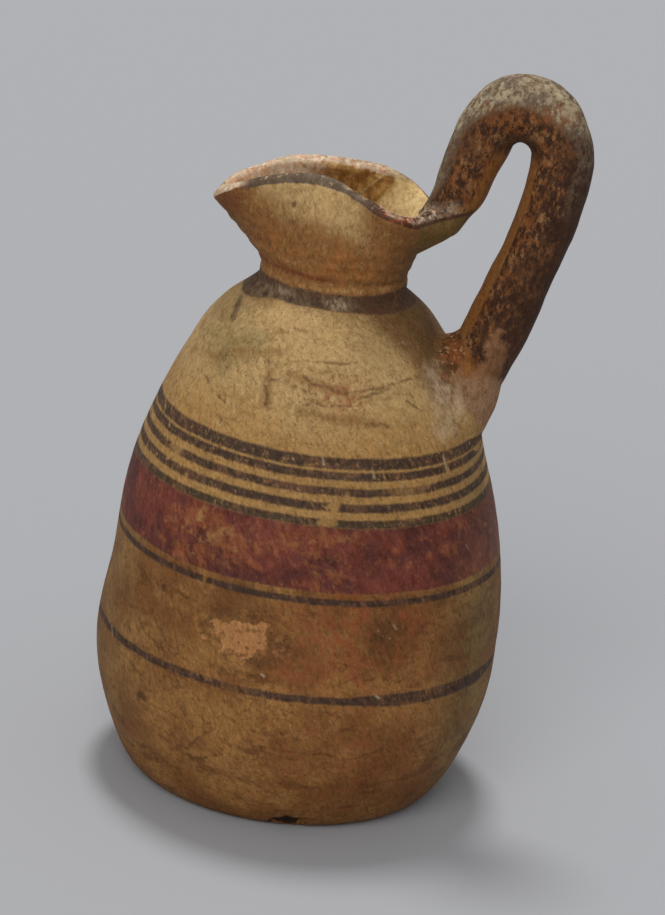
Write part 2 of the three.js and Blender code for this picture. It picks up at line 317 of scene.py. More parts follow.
def make_piece(name, node, material, rows, round_rows=False, inside=None, inside_from=None):
    """A closed mesh from rows of points, each row a closed ring. Open ends get a fan. Rows from
    inside_from on take the material inside, if one is given."""
    rows = hand_lean(np.asarray(rows)) * MM
    count, sides = rows.shape[:2]
    points = rows.reshape(-1, 3).tolist()
    faces = ring_faces(count, sides, round_rows)
    if not round_rows:
        for ring, forwards in ((0, False), (count - 1, True)):
            points.append(rows[ring].mean(axis=0).tolist())
            hub = len(points) - 1
            for j in range(sides):
                a, b = ring * sides + j, ring * sides + (j + 1) % sides
                faces.append((a, b, hub) if forwards else (b, a, hub))
    mesh = bpy.data.meshes.new(name)
    mesh.from_pydata(points, [], faces)
    mesh.validate()
    mesh.shade_smooth()
    mesh.update()
    piece = place_object(name, mesh)
    mesh.materials.append(material)
    if inside:
        mesh.materials.append(inside)
        for polygon in mesh.polygons:
            polygon.material_index = int(polygon.vertices[0] >= inside_from * sides)
    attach(piece, "root")
    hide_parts(node)


def tree_of(rows, round_rows=False):
    """The surface through rows of points, to find places on it."""
    faces = ring_faces(*rows.shape[:2], round_rows)
    return BVHTree.FromPolygons([Vector(p) for p in rows.reshape(-1, 3).tolist()], faces)


def ring_rows(profile, turns):
    """Rows of points round Z for each radius and height of a profile."""
    angle = around(turns)
    radius, height = np.asarray(profile, float).T[:, :, None]
    return np.stack([radius * np.cos(angle), radius * np.sin(angle), height * np.ones(turns)], axis=2)


def body_rows():
    """Up the outside from the middle of the base, and down the hollow to the middle of its floor."""
    base = np.linspace((1, 0), (BASE_RADIUS - 1, 0), BASE_ROWS)
    seat = [(SEAT_STEP, BODY_HEIGHT), (THROAT_RADIUS, BODY_HEIGHT)]
    inside = even(body_inside(), INSIDE_ROWS)
    throat = np.linspace((THROAT_RADIUS, BODY_HEIGHT - 0.7), (THROAT_RADIUS, inside[0, 1] + 0.5), THROAT_ROWS)
    floor = np.linspace((inside[-1, 0] - 1, FLOOR_THICKNESS), (1, FLOOR_THICKNESS), FLOOR_ROWS)
    profile = np.concatenate([base, even(BODY_CURVE, BODY_ROWS), seat, throat, inside, floor])
    return ring_rows(profile, BODY_TURNS)


def ragged_patch(rows, centre, reach, seed, roughness, size):
    """1 inside a ragged patch round a centre, and 0 outside. Reach is its half size along X, Y and Z."""
    away = np.linalg.norm((rows - np.array(centre)) / reach, axis=-1)
    return smoothstep(-away - roughness * fractal(rows, size, 3, seed), -1.08, -0.92)


def body_surface():
    """The body's rows with lumps, wheel marks and presses outside, the chipped slip and the chipped foot."""
    rows = body_rows()
    x, y, z = np.moveaxis(rows, -1, 0)
    outside = smoothstep(np.hypot(x, y), body_radius(z) - 3, body_radius(z) - 1.5) * smoothstep(z, 0.3, 4)
    lumps = 0.26 * fractal(rows, 30, 2, 3.1) + 0.05 * fractal(rows, 6, 2, 9.7)
    wheel = 0.014 * np.sin(2 * math.pi * (z / 4.6 + 0.5 * fractal(rows, 26, 1, 5.5)))
    thrown = lumps + wheel * (0.6 + 0.8 * fractal(rows, 30, 1, 1.9))
    relief = outside * (thrown * smoothstep(-z, -110.5, -107) + pressed(rows, BODY_PRESSES))
    relief -= FLAKE_DEPTH * ragged_patch(rows, FLAKE_CENTRE, FLAKE_REACH, 4.4, 0.45, 5)
    relief -= CHIP_DEPTH * ragged_patch(rows, CHIP_CENTRE, CHIP_REACH, 8.1, 0.5, 3)
    return moved_out(rows, relief)


# Neck and mouth

def lip_line(count):
    """The middle line of the lip, evenly spaced from the back round by +Y: a smooth curve by LIP_PLACES."""
    other_side = [(x, -y, z) for x, y, z in LIP_PLACES[-2:0:-1]]
    places = np.array(LIP_PLACES + other_side, float) + (0, 0, BODY_HEIGHT)
    t = np.linspace(0, 1, 160, endpoint=False)[:, None]
    dense = []
    for i in range(len(places)):
        before, a, b, after = (places[(i + k) % len(places)] for k in (-1, 0, 1, 2))
        g0, g1, g2 = (math.sqrt(np.linalg.norm(v)) for v in (a - before, b - a, after - b))
        start = ((a - before) / g0 - (b - before) / (g0 + g1) + (b - a) / g1) * g1
        end = ((b - a) / g1 - (after - a) / (g1 + g2) + (after - b) / g2) * g1
        dense.append(a + start * t + (3 * (b - a) - 2 * start - end) * t ** 2
                     + (2 * (a - b) + start + end) * t ** 3)
    return even(np.concatenate([*dense, dense[0][:1]]), count + 1)[:-1]


def neck_walls():
    """The middle surface of the neck's wall and the directions up and out, by climb (rows) and turn."""
    angle = around(NECK_TURNS)
    facing = np.cos(angle)
    flare = np.where(facing < 0, SPOUT_FLARE_RISE, BACK_FLARE_RISE)
    flare = FOLD_FLARE_RISE + (flare - FOLD_FLARE_RISE) * facing ** 2
    foot = np.stack([np.cos(angle), np.sin(angle), np.zeros(NECK_TURNS)], axis=1)
    knee = foot * (WALL_MIDDLE_RADIUS + FOLD_BULGE * np.sin(angle) ** 2)[:, None]
    foot = foot * WALL_MIDDLE_RADIUS
    foot[:, 2] = COLLAR_TOP
    knee[:, 2] = COLLAR_TOP + flare
    climb = np.linspace(0, 1, NECK_ROWS)[:, None, None]
    middle = foot * (1 - climb) ** 2 + knee * 2 * climb * (1 - climb) + lip_line(NECK_TURNS) * climb ** 2
    up = unit(np.gradient(middle, axis=0))
    out = np.cross(np.roll(middle, -1, axis=1) - np.roll(middle, 1, axis=1), up)
    out[..., 2] *= climb[..., 0]
    return middle, up, unit(out), climb


def neck_rows():
    """Up the outside of the neck, over the lip and down the inside, with straight collars below."""
    middle, up, out, climb = neck_walls()
    half = (NECK_WALL + (LIP_THICKNESS - NECK_WALL) * climb) / 2
    turn = np.linspace(0, math.pi, LIP_ROWS + 2)[1:-1, None, None]
    c, s = np.cos(turn), np.sin(turn)
    square = np.abs(c) ** LIP_SQUARENESS + np.abs(s) ** LIP_SQUARENESS
    reach = LIP_THICKNESS / 2 / square ** (1 / LIP_SQUARENESS)
    lip = middle[-1] + out[-1] * reach * c + up[-1] * reach * s * 0.92
    collar = [(NECK_RADIUS, BODY_HEIGHT + rise) for rise in (-0.3, 1, 2)]
    throat = [(THROAT_RADIUS, BODY_HEIGHT + rise) for rise in (2, 1, -0.3)]
    return np.concatenate([ring_rows(collar, NECK_TURNS), middle + out * half, lip, (middle - out * half)[::-1],
                           ring_rows(throat, NECK_TURNS)])


# The crease beside the back lobe starts at this place and height, and goes this far along X as it climbs
CREASE_X, CREASE_Z, CREASE_SLOPE = 4.4, 127.7, 0.62


def neck_creases(rows):
    """How far the inner wall stands proud where pinching folded it, beside the lobe at the back."""
    x, y, z = np.moveaxis(rows, -1, 0)
    inner = np.arange(len(rows))[:, None] > COLLAR_ROWS + NECK_ROWS + LIP_ROWS
    away = x - CREASE_X - (z - CREASE_Z) * CREASE_SLOPE
    ridge = 0.85 * bell(away, 0, np.where(away < 0, 3.2, 1.0))
    second = 0.3 * bell(x, 2.2 + 0.9 * (z - 130), 0.8) * smoothstep(z, 127, 129)
    return inner * smoothstep(np.abs(y), 5, 8) * between(z, 116, 124, 133, 136) * (ridge + second)


def neck_surface():
    """The neck's rows with its unevenness: wiping marks, a fold and a groove low down, and the creases."""
    rows = neck_rows()
    x, y, z = np.moveaxis(rows, -1, 0)
    low = smoothstep(-z, -129, -119)
    lumps = 0.16 * fractal(rows, 11, 2, 2.2) + (0.05 + 0.2 * low) * fractal(rows, 4, 3, 6.1)
    wiped = 0.11 * low * np.sin(2 * math.pi * (z / 2.7 + 0.8 * fractal(rows, 12, 1, 4.0)))
    height = z + 0.9 * fractal(rows, 8, 2, 8.8)
    outer = np.arange(len(rows))[:, None] < COLLAR_ROWS + NECK_ROWS
    uneven = outer * (0.7 + 0.9 * fractal(rows, 7, 1, 3.7)) * smoothstep(-x, -11, -4)
    fold = uneven * (0.3 * bell(height, 118.7, 0.8) - 0.42 * bell(height, 116.7, 0.8))
    relief = (lumps + wiped) * smoothstep(z, BODY_HEIGHT, BODY_HEIGHT + 4)
    return moved_out(rows, relief + fold + neck_creases(rows))


def neck_lute_rows():
    """The ring of clay worked down round the neck's foot: a low ridge that shows in front and behind."""
    edge = SEAT_RADIUS + 1.3
    edge_height = float(np.interp(-edge, -BODY_CURVE[:, 0], BODY_CURVE[:, 1]))
    t = np.linspace(0, 1, 14)
    low = bezier([(edge, edge_height - 0.12), (SEAT_RADIUS + 0.5, BODY_HEIGHT - 0.3),
                  (SEAT_RADIUS + 0.2, BODY_HEIGHT + 0.6)], t)
    bead = bezier([low[-1], (SEAT_RADIUS - 0.05, BODY_HEIGHT + 2.2), (SEAT_RADIUS + 0.5, BODY_HEIGHT + 3.9),
                   (NECK_RADIUS - 0.5, BODY_HEIGHT + 4.9)], t)
    back = [(NECK_RADIUS - 1.3, BODY_HEIGHT + 3), (NECK_RADIUS - 1.4, BODY_HEIGHT + 0.4),
            (NECK_RADIUS - 0.9, BODY_HEIGHT - 0.7), (SEAT_RADIUS + 0.4, edge_height - 0.7)]
    rows = ring_rows(np.concatenate([low, bead[1:], back]), BODY_TURNS)
    x, y, z = np.moveaxis(rows, -1, 0)
    relief = 0.14 * fractal(rows, 9, 2, 12.3) + 0.05 * fractal(rows, 3, 1, 5.3)
    relief -= 0.42 * (x / np.hypot(x, y)) ** 2 * smoothstep(z, BODY_HEIGHT - 0.3, BODY_HEIGHT + 0.7)
    return moved_out(rows, relief)


# Handle

def handle_line():
    """The middle line of the coil as x and z, from inside the lip over the arch to inside the shoulder."""
    back = np.array([BACK_REACH, BODY_HEIGHT + BACK_RISE])
    centre = back + (ARCH_REACH, ARCH_RISE)
    limb = np.array([math.sin(LIMB_LEAN), math.cos(LIMB_LEAN)])
    arch_start = centre + ARCH_RADIUS * np.array([-limb[1], limb[0]])
    knee = arch_start + limb * (back[1] + KNEE_RISE - arch_start[1]) / limb[1]
    half_way = (knee + arch_start) / 2
    foot_height = BODY_HEIGHT - FOOT_DROP
    foot = np.array([body_radius(foot_height) + FOOT_STAND_OFF, foot_height])
    down = -np.array([math.sin(FOOT_LEAN), math.cos(FOOT_LEAN)])
    t = np.linspace(0, 1, 300)
    rise = bezier([back - (ROOT_REACH, ROOT_SINK), knee, half_way], t)
    straight = bezier([half_way, arch_start], t)
    angle = np.linspace(math.pi - LIMB_LEAN, 0, 300)
    arch = centre + ARCH_RADIUS * np.stack([np.cos(angle), np.sin(angle)], axis=1)
    drop = bezier([arch[-1], arch[-1] - (0, DROP_TANGENT), foot - down * FOOT_TANGENT, foot], t)
    sink = bezier([foot, foot + down * FOOT_SINK], t)
    return even(np.concatenate([rise, straight[1:], arch[1:], drop[1:], sink[1:]]), 4000)


HANDLE_LINE = handle_line()
HANDLE_LENGTH = run_of(HANDLE_LINE)[-1]
HANDLE_START = 4.3
HANDLE_END = HANDLE_LENGTH - 4


def handle_rings(lengths):
    """Oval sections of the coil at lengths along it. Each runs round from the handle's inner side."""
    share = lengths / HANDLE_LENGTH
    run = np.linspace(0, 1, len(HANDLE_LINE))
    middle = at_shares(share, run, HANDLE_LINE)
    tangent = unit(at_shares(share, run, np.gradient(HANDLE_LINE, axis=0)))
    crown = ARCH_Z + ARCH_RADIUS
    full = smoothstep(lengths, 0, ROOT_TAPER)
    limb = HANDLE_THICKNESS + (FOOT_THICKNESS - HANDLE_THICKNESS) * share
    coil = ROOT_THICKNESS + (limb - ROOT_THICKNESS) * full
    thick = (coil + ARCH_SWELL * smoothstep(middle[:, 1], crown - 2 * ARCH_RADIUS, crown)) / 2
    wide = (ROOT_WIDTH + (HANDLE_WIDTH - ROOT_WIDTH) * full) / 2
    angle = around(HANDLE_SIDES)
    inwards = thick[:, None] * np.cos(angle)
    x = middle[:, :1] + tangent[:, 1:] * inwards
    z = middle[:, 1:] - tangent[:, :1] * inwards
    return np.stack([x, wide[:, None] * np.sin(angle), z], axis=2)


def handle_surface():
    """The handle's rows with the unevenness of a hand-rolled coil."""
    rows = handle_rings(np.linspace(HANDLE_START, HANDLE_END, HANDLE_ROWS))
    lumps = 0.30 * fractal(rows, 13, 2, 1.4) + 0.09 * fractal(rows, 4, 2, 7.7)
    return moved_out(rows, lumps + pressed(rows, HANDLE_PRESSES))


def tucked(rows):
    """The handle's rows, drawn in a little at the root so that its collar covers it."""
    tuck = smoothstep(np.arange(HANDLE_ROWS), -1, 9)[:, None, None]
    middle = rows.mean(axis=1, keepdims=True)
    return middle + (rows - middle) * (0.9 + 0.1 * tuck)


def meeting_place(line, tree):
    """Where a line of points first meets a surface, or comes nearest: its step, the place and the normal."""
    for i, step in enumerate(np.diff(line, axis=0)):
        length = float(np.linalg.norm(step))
        place, normal = tree.ray_cast(Vector(line[i]), Vector(step / length), length)[:2]
        if place is not None:
            return i, np.array(place), np.array(normal)
    near = [tree.find_nearest(Vector(p)) for p in line[::4]]
    best = min(range(len(near)), key=lambda k: near[k][3])
    return best * 4, np.array(near[best][0]), np.array(near[best][1])


def fillet_rows(rows, tree, rise, spread, depth, seed, pull, lumps, presses):
    """A collar that flares from the coil's rows onto a neighbour. `rows` run towards the neighbour,
    rise is how far up the coil it starts and spread how far out it ends, by the coil's side. Pull is
    how long it keeps the coil's direction, and the neighbour's, as shares of its reach."""
    centre_line = rows.mean(axis=1)
    run = run_of(centre_line)
    strips = []
    for j in range(rows.shape[1]):
        line = rows[:, j]
        i, place, face = meeting_place(line, tree)
        outwards = place - centre_line[i]
        outwards = unit(outwards - face * (outwards @ face))
        landing, face = map(np.array, tree.find_nearest(Vector(place + outwards * spread[j]))[:2])
        top = max(int(np.searchsorted(run, run[i] - rise[j])), 0)
        start = line[top]
        tangent = unit(line[min(top + 3, i + 1)] - line[max(top - 3, 0)])
        reach = np.linalg.norm(landing - start)
        away = unit(outwards - face * (outwards @ face))
        # starts and ends just under the two surfaces, so that its edges fade into them
        coil_out = unit(start - centre_line[top])
        begin = start - coil_out * 0.12 - tangent * 0.4
        finish = landing - face * 0.12 + away * 0.4
        curve = bezier([begin, begin + tangent * reach * pull[0], finish - away * reach * pull[1], finish],
                       np.linspace(0, 1, FILLET_ROWS))
        under = finish - face * depth - away * 0.6
        deep = place - face * depth - outwards * 2.2
        strips.append(np.concatenate([curve, [under, deep, start - coil_out * 2.4]]))
    rows = np.stack(strips, axis=1)
    shown = np.zeros(len(rows))
    shown[:FILLET_ROWS] = np.sin(np.linspace(0, math.pi, FILLET_ROWS)) ** 1.5
    for _ in range(4):
        rows = (rows * 2 + np.roll(rows, 1, axis=1) + np.roll(rows, -1, axis=1)) / 4
    uneven = fractal(rows, 7, 2, seed) + 0.35 * fractal(rows, 2.5, 2, seed + 3)
    relief = lumps * uneven + pressed(rows, presses)
    return moved_out(rows, relief * shown[:, None])


def side_values(inner, side, outer, ragged):
    """A value for each side of the coil, from its inner side round by its flank to its outer side."""
    angle = around(HANDLE_SIDES)
    ends = (inner + outer) / 2 + (inner - outer) / 2 * np.cos(angle)
    return (ends * np.cos(angle) ** 2 + side * np.sin(angle) ** 2) * (1 + ragged)


def foot_lute_rows(handle, body_tree):
    rows = handle[-FOOT_ROWS:]
    ragged = 0.3 * fractal(rows[40], 9, 2, 3.3)
    rise, spread = side_values(7.5, 8, 11, ragged), side_values(5.8, 6, 6, ragged)
    return fillet_rows(rows, body_tree, rise, spread, 1.6, 2.9, (0.36, 0.36), 0.2, COLLAR_PRESSES)


def top_lute_rows(handle, neck_tree):
    rows = handle[:ROOT_ROWS][::-1]
    ragged = 0.12 * fractal(rows[60], 7, 2, 6.3)
    rise, spread = side_values(4, 6, 4, ragged), side_values(7, 5, 1.6, ragged)
    return fillet_rows(rows, neck_tree, rise, spread, 1.0, 5.9, (0.45, 0.16), 0.12, [])


# Materials: every colour is worked out from the place on the jug, so that neighbouring pieces match

def maths(operation, swapped=False):
    """An operator between fields and numbers."""
    def operator(self, other):
        return self.graph.math(operation, *((other, self) if swapped else (self, other)))
    return operator


class Field:
    """A number, place or colour that a material works out at each point of the surface. Between masks
    that run from 0 to 1, * is where both are and | is where either is."""

    __add__, __radd__ = maths("ADD"), maths("ADD", True)
    __sub__, __rsub__ = maths("SUBTRACT"), maths("SUBTRACT", True)
    __mul__, __rmul__ = maths("MULTIPLY"), maths("MULTIPLY", True)
    __or__ = maths("MAXIMUM")

    def __init__(self, graph, socket):
        self.graph = graph
        self.socket = socket

    def __abs__(self):
        return self.graph.math("ABSOLUTE", self)

    def rise(self, low, high):
        """0 below low, 1 above high, and smooth between. High may be below low."""
        return self.graph.node("MapRange", self, low, high, interpolation_type="SMOOTHSTEP", clamp=False)

    def sway(self, amount):
        """Noise as a number around 0, half as large as the amount at most."""
        return (self - 0.5) * amount

    def line(self, middle, width, softness):
        """1 where the field is within half a width of the middle."""
        return abs(self - middle).rise(width / 2 + softness, width / 2 - softness)


def most(masks):
    """The strongest of some masks."""
    return reduce(lambda a, b: a | b, masks)


# Slant of the fine structure, in radians round the jug per millimetre of height
WISP_TWIST = 0.009


class Graph:
    """Builds one material's nodes from plain calls, coat over coat. Places and sizes are in millimetres."""

    def __init__(self, name):
        self.material = bpy.data.materials.new(name)
        self.material.use_nodes = True
        self.nodes = self.material.node_tree.nodes
        self.shader = self.nodes["Principled BSDF"]
        self.origin = self.node("TexCoord", out="Object")
        self.place = self.vector("MULTIPLY", self.origin, (1 / MM,) * 3)
        parts = self.node("SeparateXYZ", self.place).socket.node
        self.x, self.y, self.z = (Field(self, socket) for socket in parts.outputs)
        self.bent = None
        self.colour = None
        # the fine structure that all the jug's clay shares
        self.fine = self.noise(0.42, 1, 2, 0.6, (1, 1, 0.7), WISP_TWIST)
        self.wisp = self.noise(0.8, 2, 3, 0.65, (1, 1, 0.5), WISP_TWIST)
        self.mottle = self.noise(2.3, 3, 5, 0.66, (1, 1, 0.75), WISP_TWIST)
        self.cloud = self.noise(11, 3, 7, 0.6)
        self.broad = self.noise(34, 2, 9)
        self.speck = self.noise(1.1, 2, 11, 0.7)

    def feed(self, socket, value):
        if isinstance(value, Field):
            self.material.node_tree.links.new(value.socket, socket)
        elif value is not None:
            socket.default_value = value

    def node(self, kind, *values, out=0, **settings):
        """One output of a new node, with its settings and its first inputs set. None leaves one as it is."""
        node = self.nodes.new("ShaderNode" + kind)
        for name, value in settings.items():
            setattr(node, name, value)
        for socket, value in zip(node.inputs, values):
            self.feed(socket, value)
        return Field(self, node.outputs[out])

    def math(self, operation, a, b=None):
        return self.node("Math", a, b, operation=operation)

    def vector(self, operation, a, b=None, out=0):
        return self.node("VectorMath", a, b, out=out, operation=operation)

    def scaled(self, vector, amount):
        return self.node("VectorMath", vector, None, None, amount, operation="SCALE")

    def noise(self, size, detail, seed, roughness=0.55, stretch=(1, 1, 1), twist=0):
        """Cloudy noise of about that size, around 0.5. Stretch divides its size along X, Y and Z."""
        place = self.origin
        if twist:
            place = self.node("VectorRotate", place, None, None, self.z * twist, rotation_type="Z_AXIS")
        shift = (seed * 37.1, seed * 17.7, seed * 71.3)
        place = self.node("Mapping", place, shift, None, tuple(s / MM for s in stretch))
        return self.node("TexNoise", place, None, 1 / size, detail, roughness)

    def thread(self, width, core, *how):
        """Fine wandering lines: where cloudy noise crosses its middle."""
        return abs(self.noise(*how) - 0.5).rise(width, core)

    def mix(self, share, a, b):
        return self.node("Mix", share, *[None] * 5, a, b, out=2, data_type="RGBA", clamp_factor=True)

    def coat(self, share, colour):
        """Lays a colour over what is there, where a mask says and as far as it says."""
        self.colour = self.mix(share, self.colour, colour)

    def spot(self, centre, reach, ragged, size, seed, edge):
        """1 inside a ragged oval and 0 outside. Reach is its half size along X, Y and Z."""
        away = self.vector("SUBTRACT", self.place, centre)
        away = self.vector("MULTIPLY", away, tuple(1 / r for r in reach))
        distance = self.vector("LENGTH", away, out=1) + self.noise(size, 3, seed).sway(ragged * 4)
        return distance.rise(1 + edge, 1 - edge)

    def spots(self, table):
        """The strongest of several spots, each with a share after what spot() takes."""
        return most(self.spot(*row[:-1]) * row[-1] for row in table)

    def wavering(self):
        """The place, shifted a little to and fro as a hand wavers."""
        if self.bent is None:
            across, up = self.noise(3.5, 3, 98) - 0.5, self.noise(3.5, 3, 99) - 0.5
            shift = self.scaled(self.node("CombineXYZ", across, across, up), 2.2)
            self.bent = self.vector("ADD", self.place, shift)
        return self.bent

    def from_line(self, place, start, end):
        """How far a place is from the straight line between two places."""
        line = tuple(b - a for a, b in zip(start, end))
        away = self.vector("SUBTRACT", place, start)
        share = self.vector("DOT_PRODUCT", away, line, out=1) * (1 / sum(v * v for v in line))
        share = self.math("MINIMUM", self.math("MAXIMUM", share, 0), 1)
        return self.vector("DISTANCE", away, self.scaled(line, share), out=1)

    def strokes(self, paths, width, softness, place):
        """Marks drawn through the places of each path."""
        lines = [pair for path in paths for pair in zip(path, path[1:])]
        nearest = reduce(lambda a, b: self.math("MINIMUM", a, b),
                         (self.from_line(place, *pair) for pair in lines))
        return nearest.rise(width / 2 + softness, max(width / 2 - softness, 0))

    def finish(self, grain, rough, spread, depth, gloss=0, relief=0):
        """Grains the colour, most so in blue as earthy grains are, and wires it, the roughness and the
        fine relief in millimetres to the shader."""
        grains = (self.fine.sway(0.55) + self.wisp.sway(0.85) + self.mottle.sway(1.35)) * grain
        factor = self.vector("ADD", self.scaled((1, 1.2, 1.45), grains), (1, 1, 1))
        factor = self.vector("MAXIMUM", factor, (0.05,) * 3)
        height = self.fine.sway(0.05) + self.wisp.sway(0.07) + self.speck.sway(0.05) + self.mottle.sway(0.08)
        bump = self.nodes.new("ShaderNodeBump")
        bump.inputs["Distance"].default_value = MM
        self.feed(bump.inputs["Height"], height * depth + relief)
        inputs = {"Base Color": self.vector("MULTIPLY", self.colour, factor),
                  "Roughness": rough + self.mottle * spread - gloss,
                  "IOR": 1.4, "Specular IOR Level": 0.22, "Normal": Field(self, bump.outputs[0])}
        for name, value in inputs.items():
            self.feed(self.shader.inputs[name], value)
        return self.material


def srgb(red, green, blue):
    """A colour as it looks on screen, 0 to 255, in linear light."""
    def linear(value):
        v = value / 255
        return v / 12.92 if v <= 0.04045 else ((v + 0.055) / 1.055) ** 2.4
    return (linear(red), linear(green), linear(blue), 1)


# Slip, clay, stains and painted shade
CREAM = srgb(178, 145, 96)
CREAM_LIGHT = srgb(200, 172, 122)
CREAM_SHADE = srgb(142, 108, 62)
GOLD = srgb(172, 130, 76)
# pale gold of the neck's ridge tops: worn slip, and partly a painted highlight
GOLD_HIGHLIGHT = srgb(190, 146, 92)
OLIVE = srgb(118, 104, 66)
OCHRE = srgb(128, 84, 44)
OCHRE_LIGHT = srgb(158, 112, 62)
OCHRE_SHADE = srgb(84, 50, 26)
BODY_SHADE = srgb(126, 80, 40)
BLUSH = srgb(134, 70, 38)
STAR = srgb(146, 82, 54)
SMEAR = srgb(128, 90, 48)
HAIR = srgb(92, 60, 34)
EARTH = srgb(84, 54, 30)
FLAKE = srgb(184, 126, 80)
CHIP = srgb(50, 36, 26)
CHALK = srgb(190, 172, 142)
ACCRETION = srgb(196, 168, 136)
# painted shadow on the shoulder between the neck and the handle's foot
SHADED = srgb(106, 72, 40)
HOLLOW = srgb(146, 104, 66)
HOLLOW_SHADE = srgb(120, 82, 50)
# Paint on the body and the foot of the neck
LINE = srgb(66, 50, 42)
LINE_THIN = srgb(100, 68, 48)
GREY_LINE = srgb(62, 52, 41)
RED = srgb(116, 59, 46)
RED_DEEP = srgb(90, 48, 42)
RED_WORN = srgb(142, 82, 50)
RED_GREY = srgb(136, 102, 80)
BAND = srgb(88, 71, 57)
BAND_LIGHT = srgb(112, 92, 68)
BAND_DARK = srgb(80, 52, 36)
BAND_PALE = srgb(160, 138, 110)
# Neck and mouth
NECK_BROWN = srgb(134, 87, 44)
# a dark brown, also laid as painted shade under the handle's root, on the spout, down the throat and on the
# shoulder beside the handle's foot
NECK_DARK = srgb(94, 66, 35)
NECK_RED = srgb(112, 52, 30)
NECK_GLOW = srgb(156, 94, 44)
RIM_RED = srgb(128, 56, 38)
RIM_GREY = srgb(94, 79, 66)
RIM_BROWN = srgb(74, 50, 38)
WORN_LIP = srgb(204, 180, 152)
LIP_PINK = srgb(196, 146, 112)
LIP_CREAM = srgb(178, 150, 104)
# the mouth's inside, partly standing as painted shade
INSIDE_BROWN = srgb(160, 114, 62)
INSIDE_OCHRE = srgb(178, 136, 78)
INSIDE_CREAM = srgb(216, 186, 130)
# Handle
PAINT_DARK = srgb(65, 41, 27)
PAINT_BROWN = srgb(104, 66, 38)
COIL_ORANGE = srgb(134, 82, 43)
COIL_TAN = srgb(148, 106, 66)
COIL_BARE = srgb(142, 100, 68)
STRIP = srgb(142, 92, 46)
CROWN_CREAM = srgb(164, 146, 116)
CROWN_GREY = srgb(112, 98, 82)
ROOT_CLAY = srgb(120, 92, 50)
ROOT_SHADE = srgb(96, 72, 42)
FOOT_SHADE = srgb(118, 84, 58)
FOOT_PINK = srgb(156, 119, 88)
FOOT_RUST = srgb(150, 90, 50)
FORK_DARK = srgb(74, 44, 24)
FORK_PALE = srgb(196, 144, 98)

# Painted lines round the body: height and width
LINES = [(83.5, 2.3), (81.05, 1.65), (78.0, 1.6), (74.85, 1.75), (71.6, 1.65)]
UNDER_LINE = (55.35, 1.4)
LOW_LINE = (34.0, 1.65)
RED_TOP = 70.8
RED_LOW = 57.4
NECK_BAND_TOP = 113.7

# Spots: middle, reach along X, Y and Z, raggedness, size and seed of its noise, softness, share
CHALK_SPOTS = [
    ((26.4, -13, 96.5), (2.4, 3, 6.4), 0.6, 4, 50, 0.8, 1),
    ((28.6, -14, 89.6), (2.4, 3, 3.2), 0.7, 3, 51, 0.8, 0.8),
    ((24.4, -12.5, 101), (1.6, 3, 2.6), 0.7, 3, 57, 0.8, 0.8),
    ((31.4, -10.6, 94.8), (3, 4, 4.4), 0.7, 3, 58, 0.8, 0.9),
]
OLIVE_CLOUDS = [
    ((-18.5, -19, 101.5), (6.5, 8, 5.5), 0.6, 5, 19, 0.7, 1),
    ((-12, -22, 103), (3, 4, 2.4), 0.6, 3, 20, 0.6, 1),
]
BLUSHES = [
    ((21, -35, 48), (14, 12, 12), 0.6, 6, 2, 0.9, 1),
    ((12, -40, 40), (9, 12, 4), 0.6, 5, 3, 0.8, 0.6),
    ((20, -35, 20), (16, 12, 12), 0.6, 7, 4, 0.9, 0.5),
]
SMUDGES = [
    ((24.8, -33.8, 49), (3.8, 4, 6), 0.8, 2.4, 5, 0.9, 0.7),
    ((0.1, -42.8, 40.6), (2.4, 3, 1.2), 0.7, 1.6, 6, 0.7, 0.7),
    ((-9, -41.6, 49.6), (5.5, 4, 1.8), 0.8, 2, 11, 0.8, 0.5),
    ((5.4, -42.6, 44), (3, 4, 2.4), 0.8, 1.6, 12, 0.8, 0.5),
    ((40.1, -9.1, 17.4), (3, 3, 2), 0.6, 2, 7, 0.6, 0.5),
    ((-24.9, -34.6, 24.8), (1.7, 2, 1), 0.6, 1.4, 8, 0.6, 0.85),
    ((-22.5, -35.3, 50.1), (0.75, 0.75, 0.75), 0.4, 1, 9, 0.5, 0.85),
    ((-6.3, -30.6, 92.6), (0.5, 0.5, 0.5), 0.4, 1, 10, 0.5, 0.8),
]
LINE_BREAKS = [
    ((11.1, -35.7, 75.0), (1.3, 2, 1.3), 0.35, 1.2, 25, 0.3, 1),
    ((-25, -27.6, 78.6), (1.8, 4, 1.4), 0.6, 1.6, 26, 0.6, 0.7),
    ((10.2, -36.8, 71.6), (1.8, 3, 1.2), 0.6, 1.2, 27, 0.5, 0.8),
    ((24.8, -28, 78.3), (4.2, 4, 1.3), 0.6, 1.6, 28, 0.7, 0.5),
    ((-4.1, -42.9, 33.8), (2.2, 3, 1.3), 0.7, 1.3, 29, 0.6, 0.5),
    ((-13.3, -38.9, 55.9), (0.5, 2, 1.4), 0.4, 1, 30, 0.4, 1),
]
RED_WEAR = [
    ((-13, -37, 65.5), (8.5, 8, 4.6), 0.8, 4, 32, 0.8, 1),
    ((-17.6, -36.4, 59.8), (7.5, 8, 2), 0.8, 3, 33, 0.7, 0.9),
    ((9, -37.6, 67.5), (10, 6, 3.2), 0.8, 3, 34, 0.9, 0.6),
    ((13, -37, 62), (5, 4, 5), 0.8, 2.4, 35, 0.9, 0.5),
]
BAND_WEAR = [
    ((3.4, -15.3, 111.6), (2, 3, 1.1), 0.6, 1.2, 85, 0.6, 1),
    ((-9, -13, 112), (2.2, 3, 0.9), 0.6, 1.2, 86, 0.6, 0.7),
]
NECK_GLOWS = [
    ((4, -15, 119), (8, 6, 4), 0.6, 4, 87, 0.8, 1),
    ((-11, -12, 121), (6, 6, 3), 0.6, 4, 84, 0.8, 0.6),
]
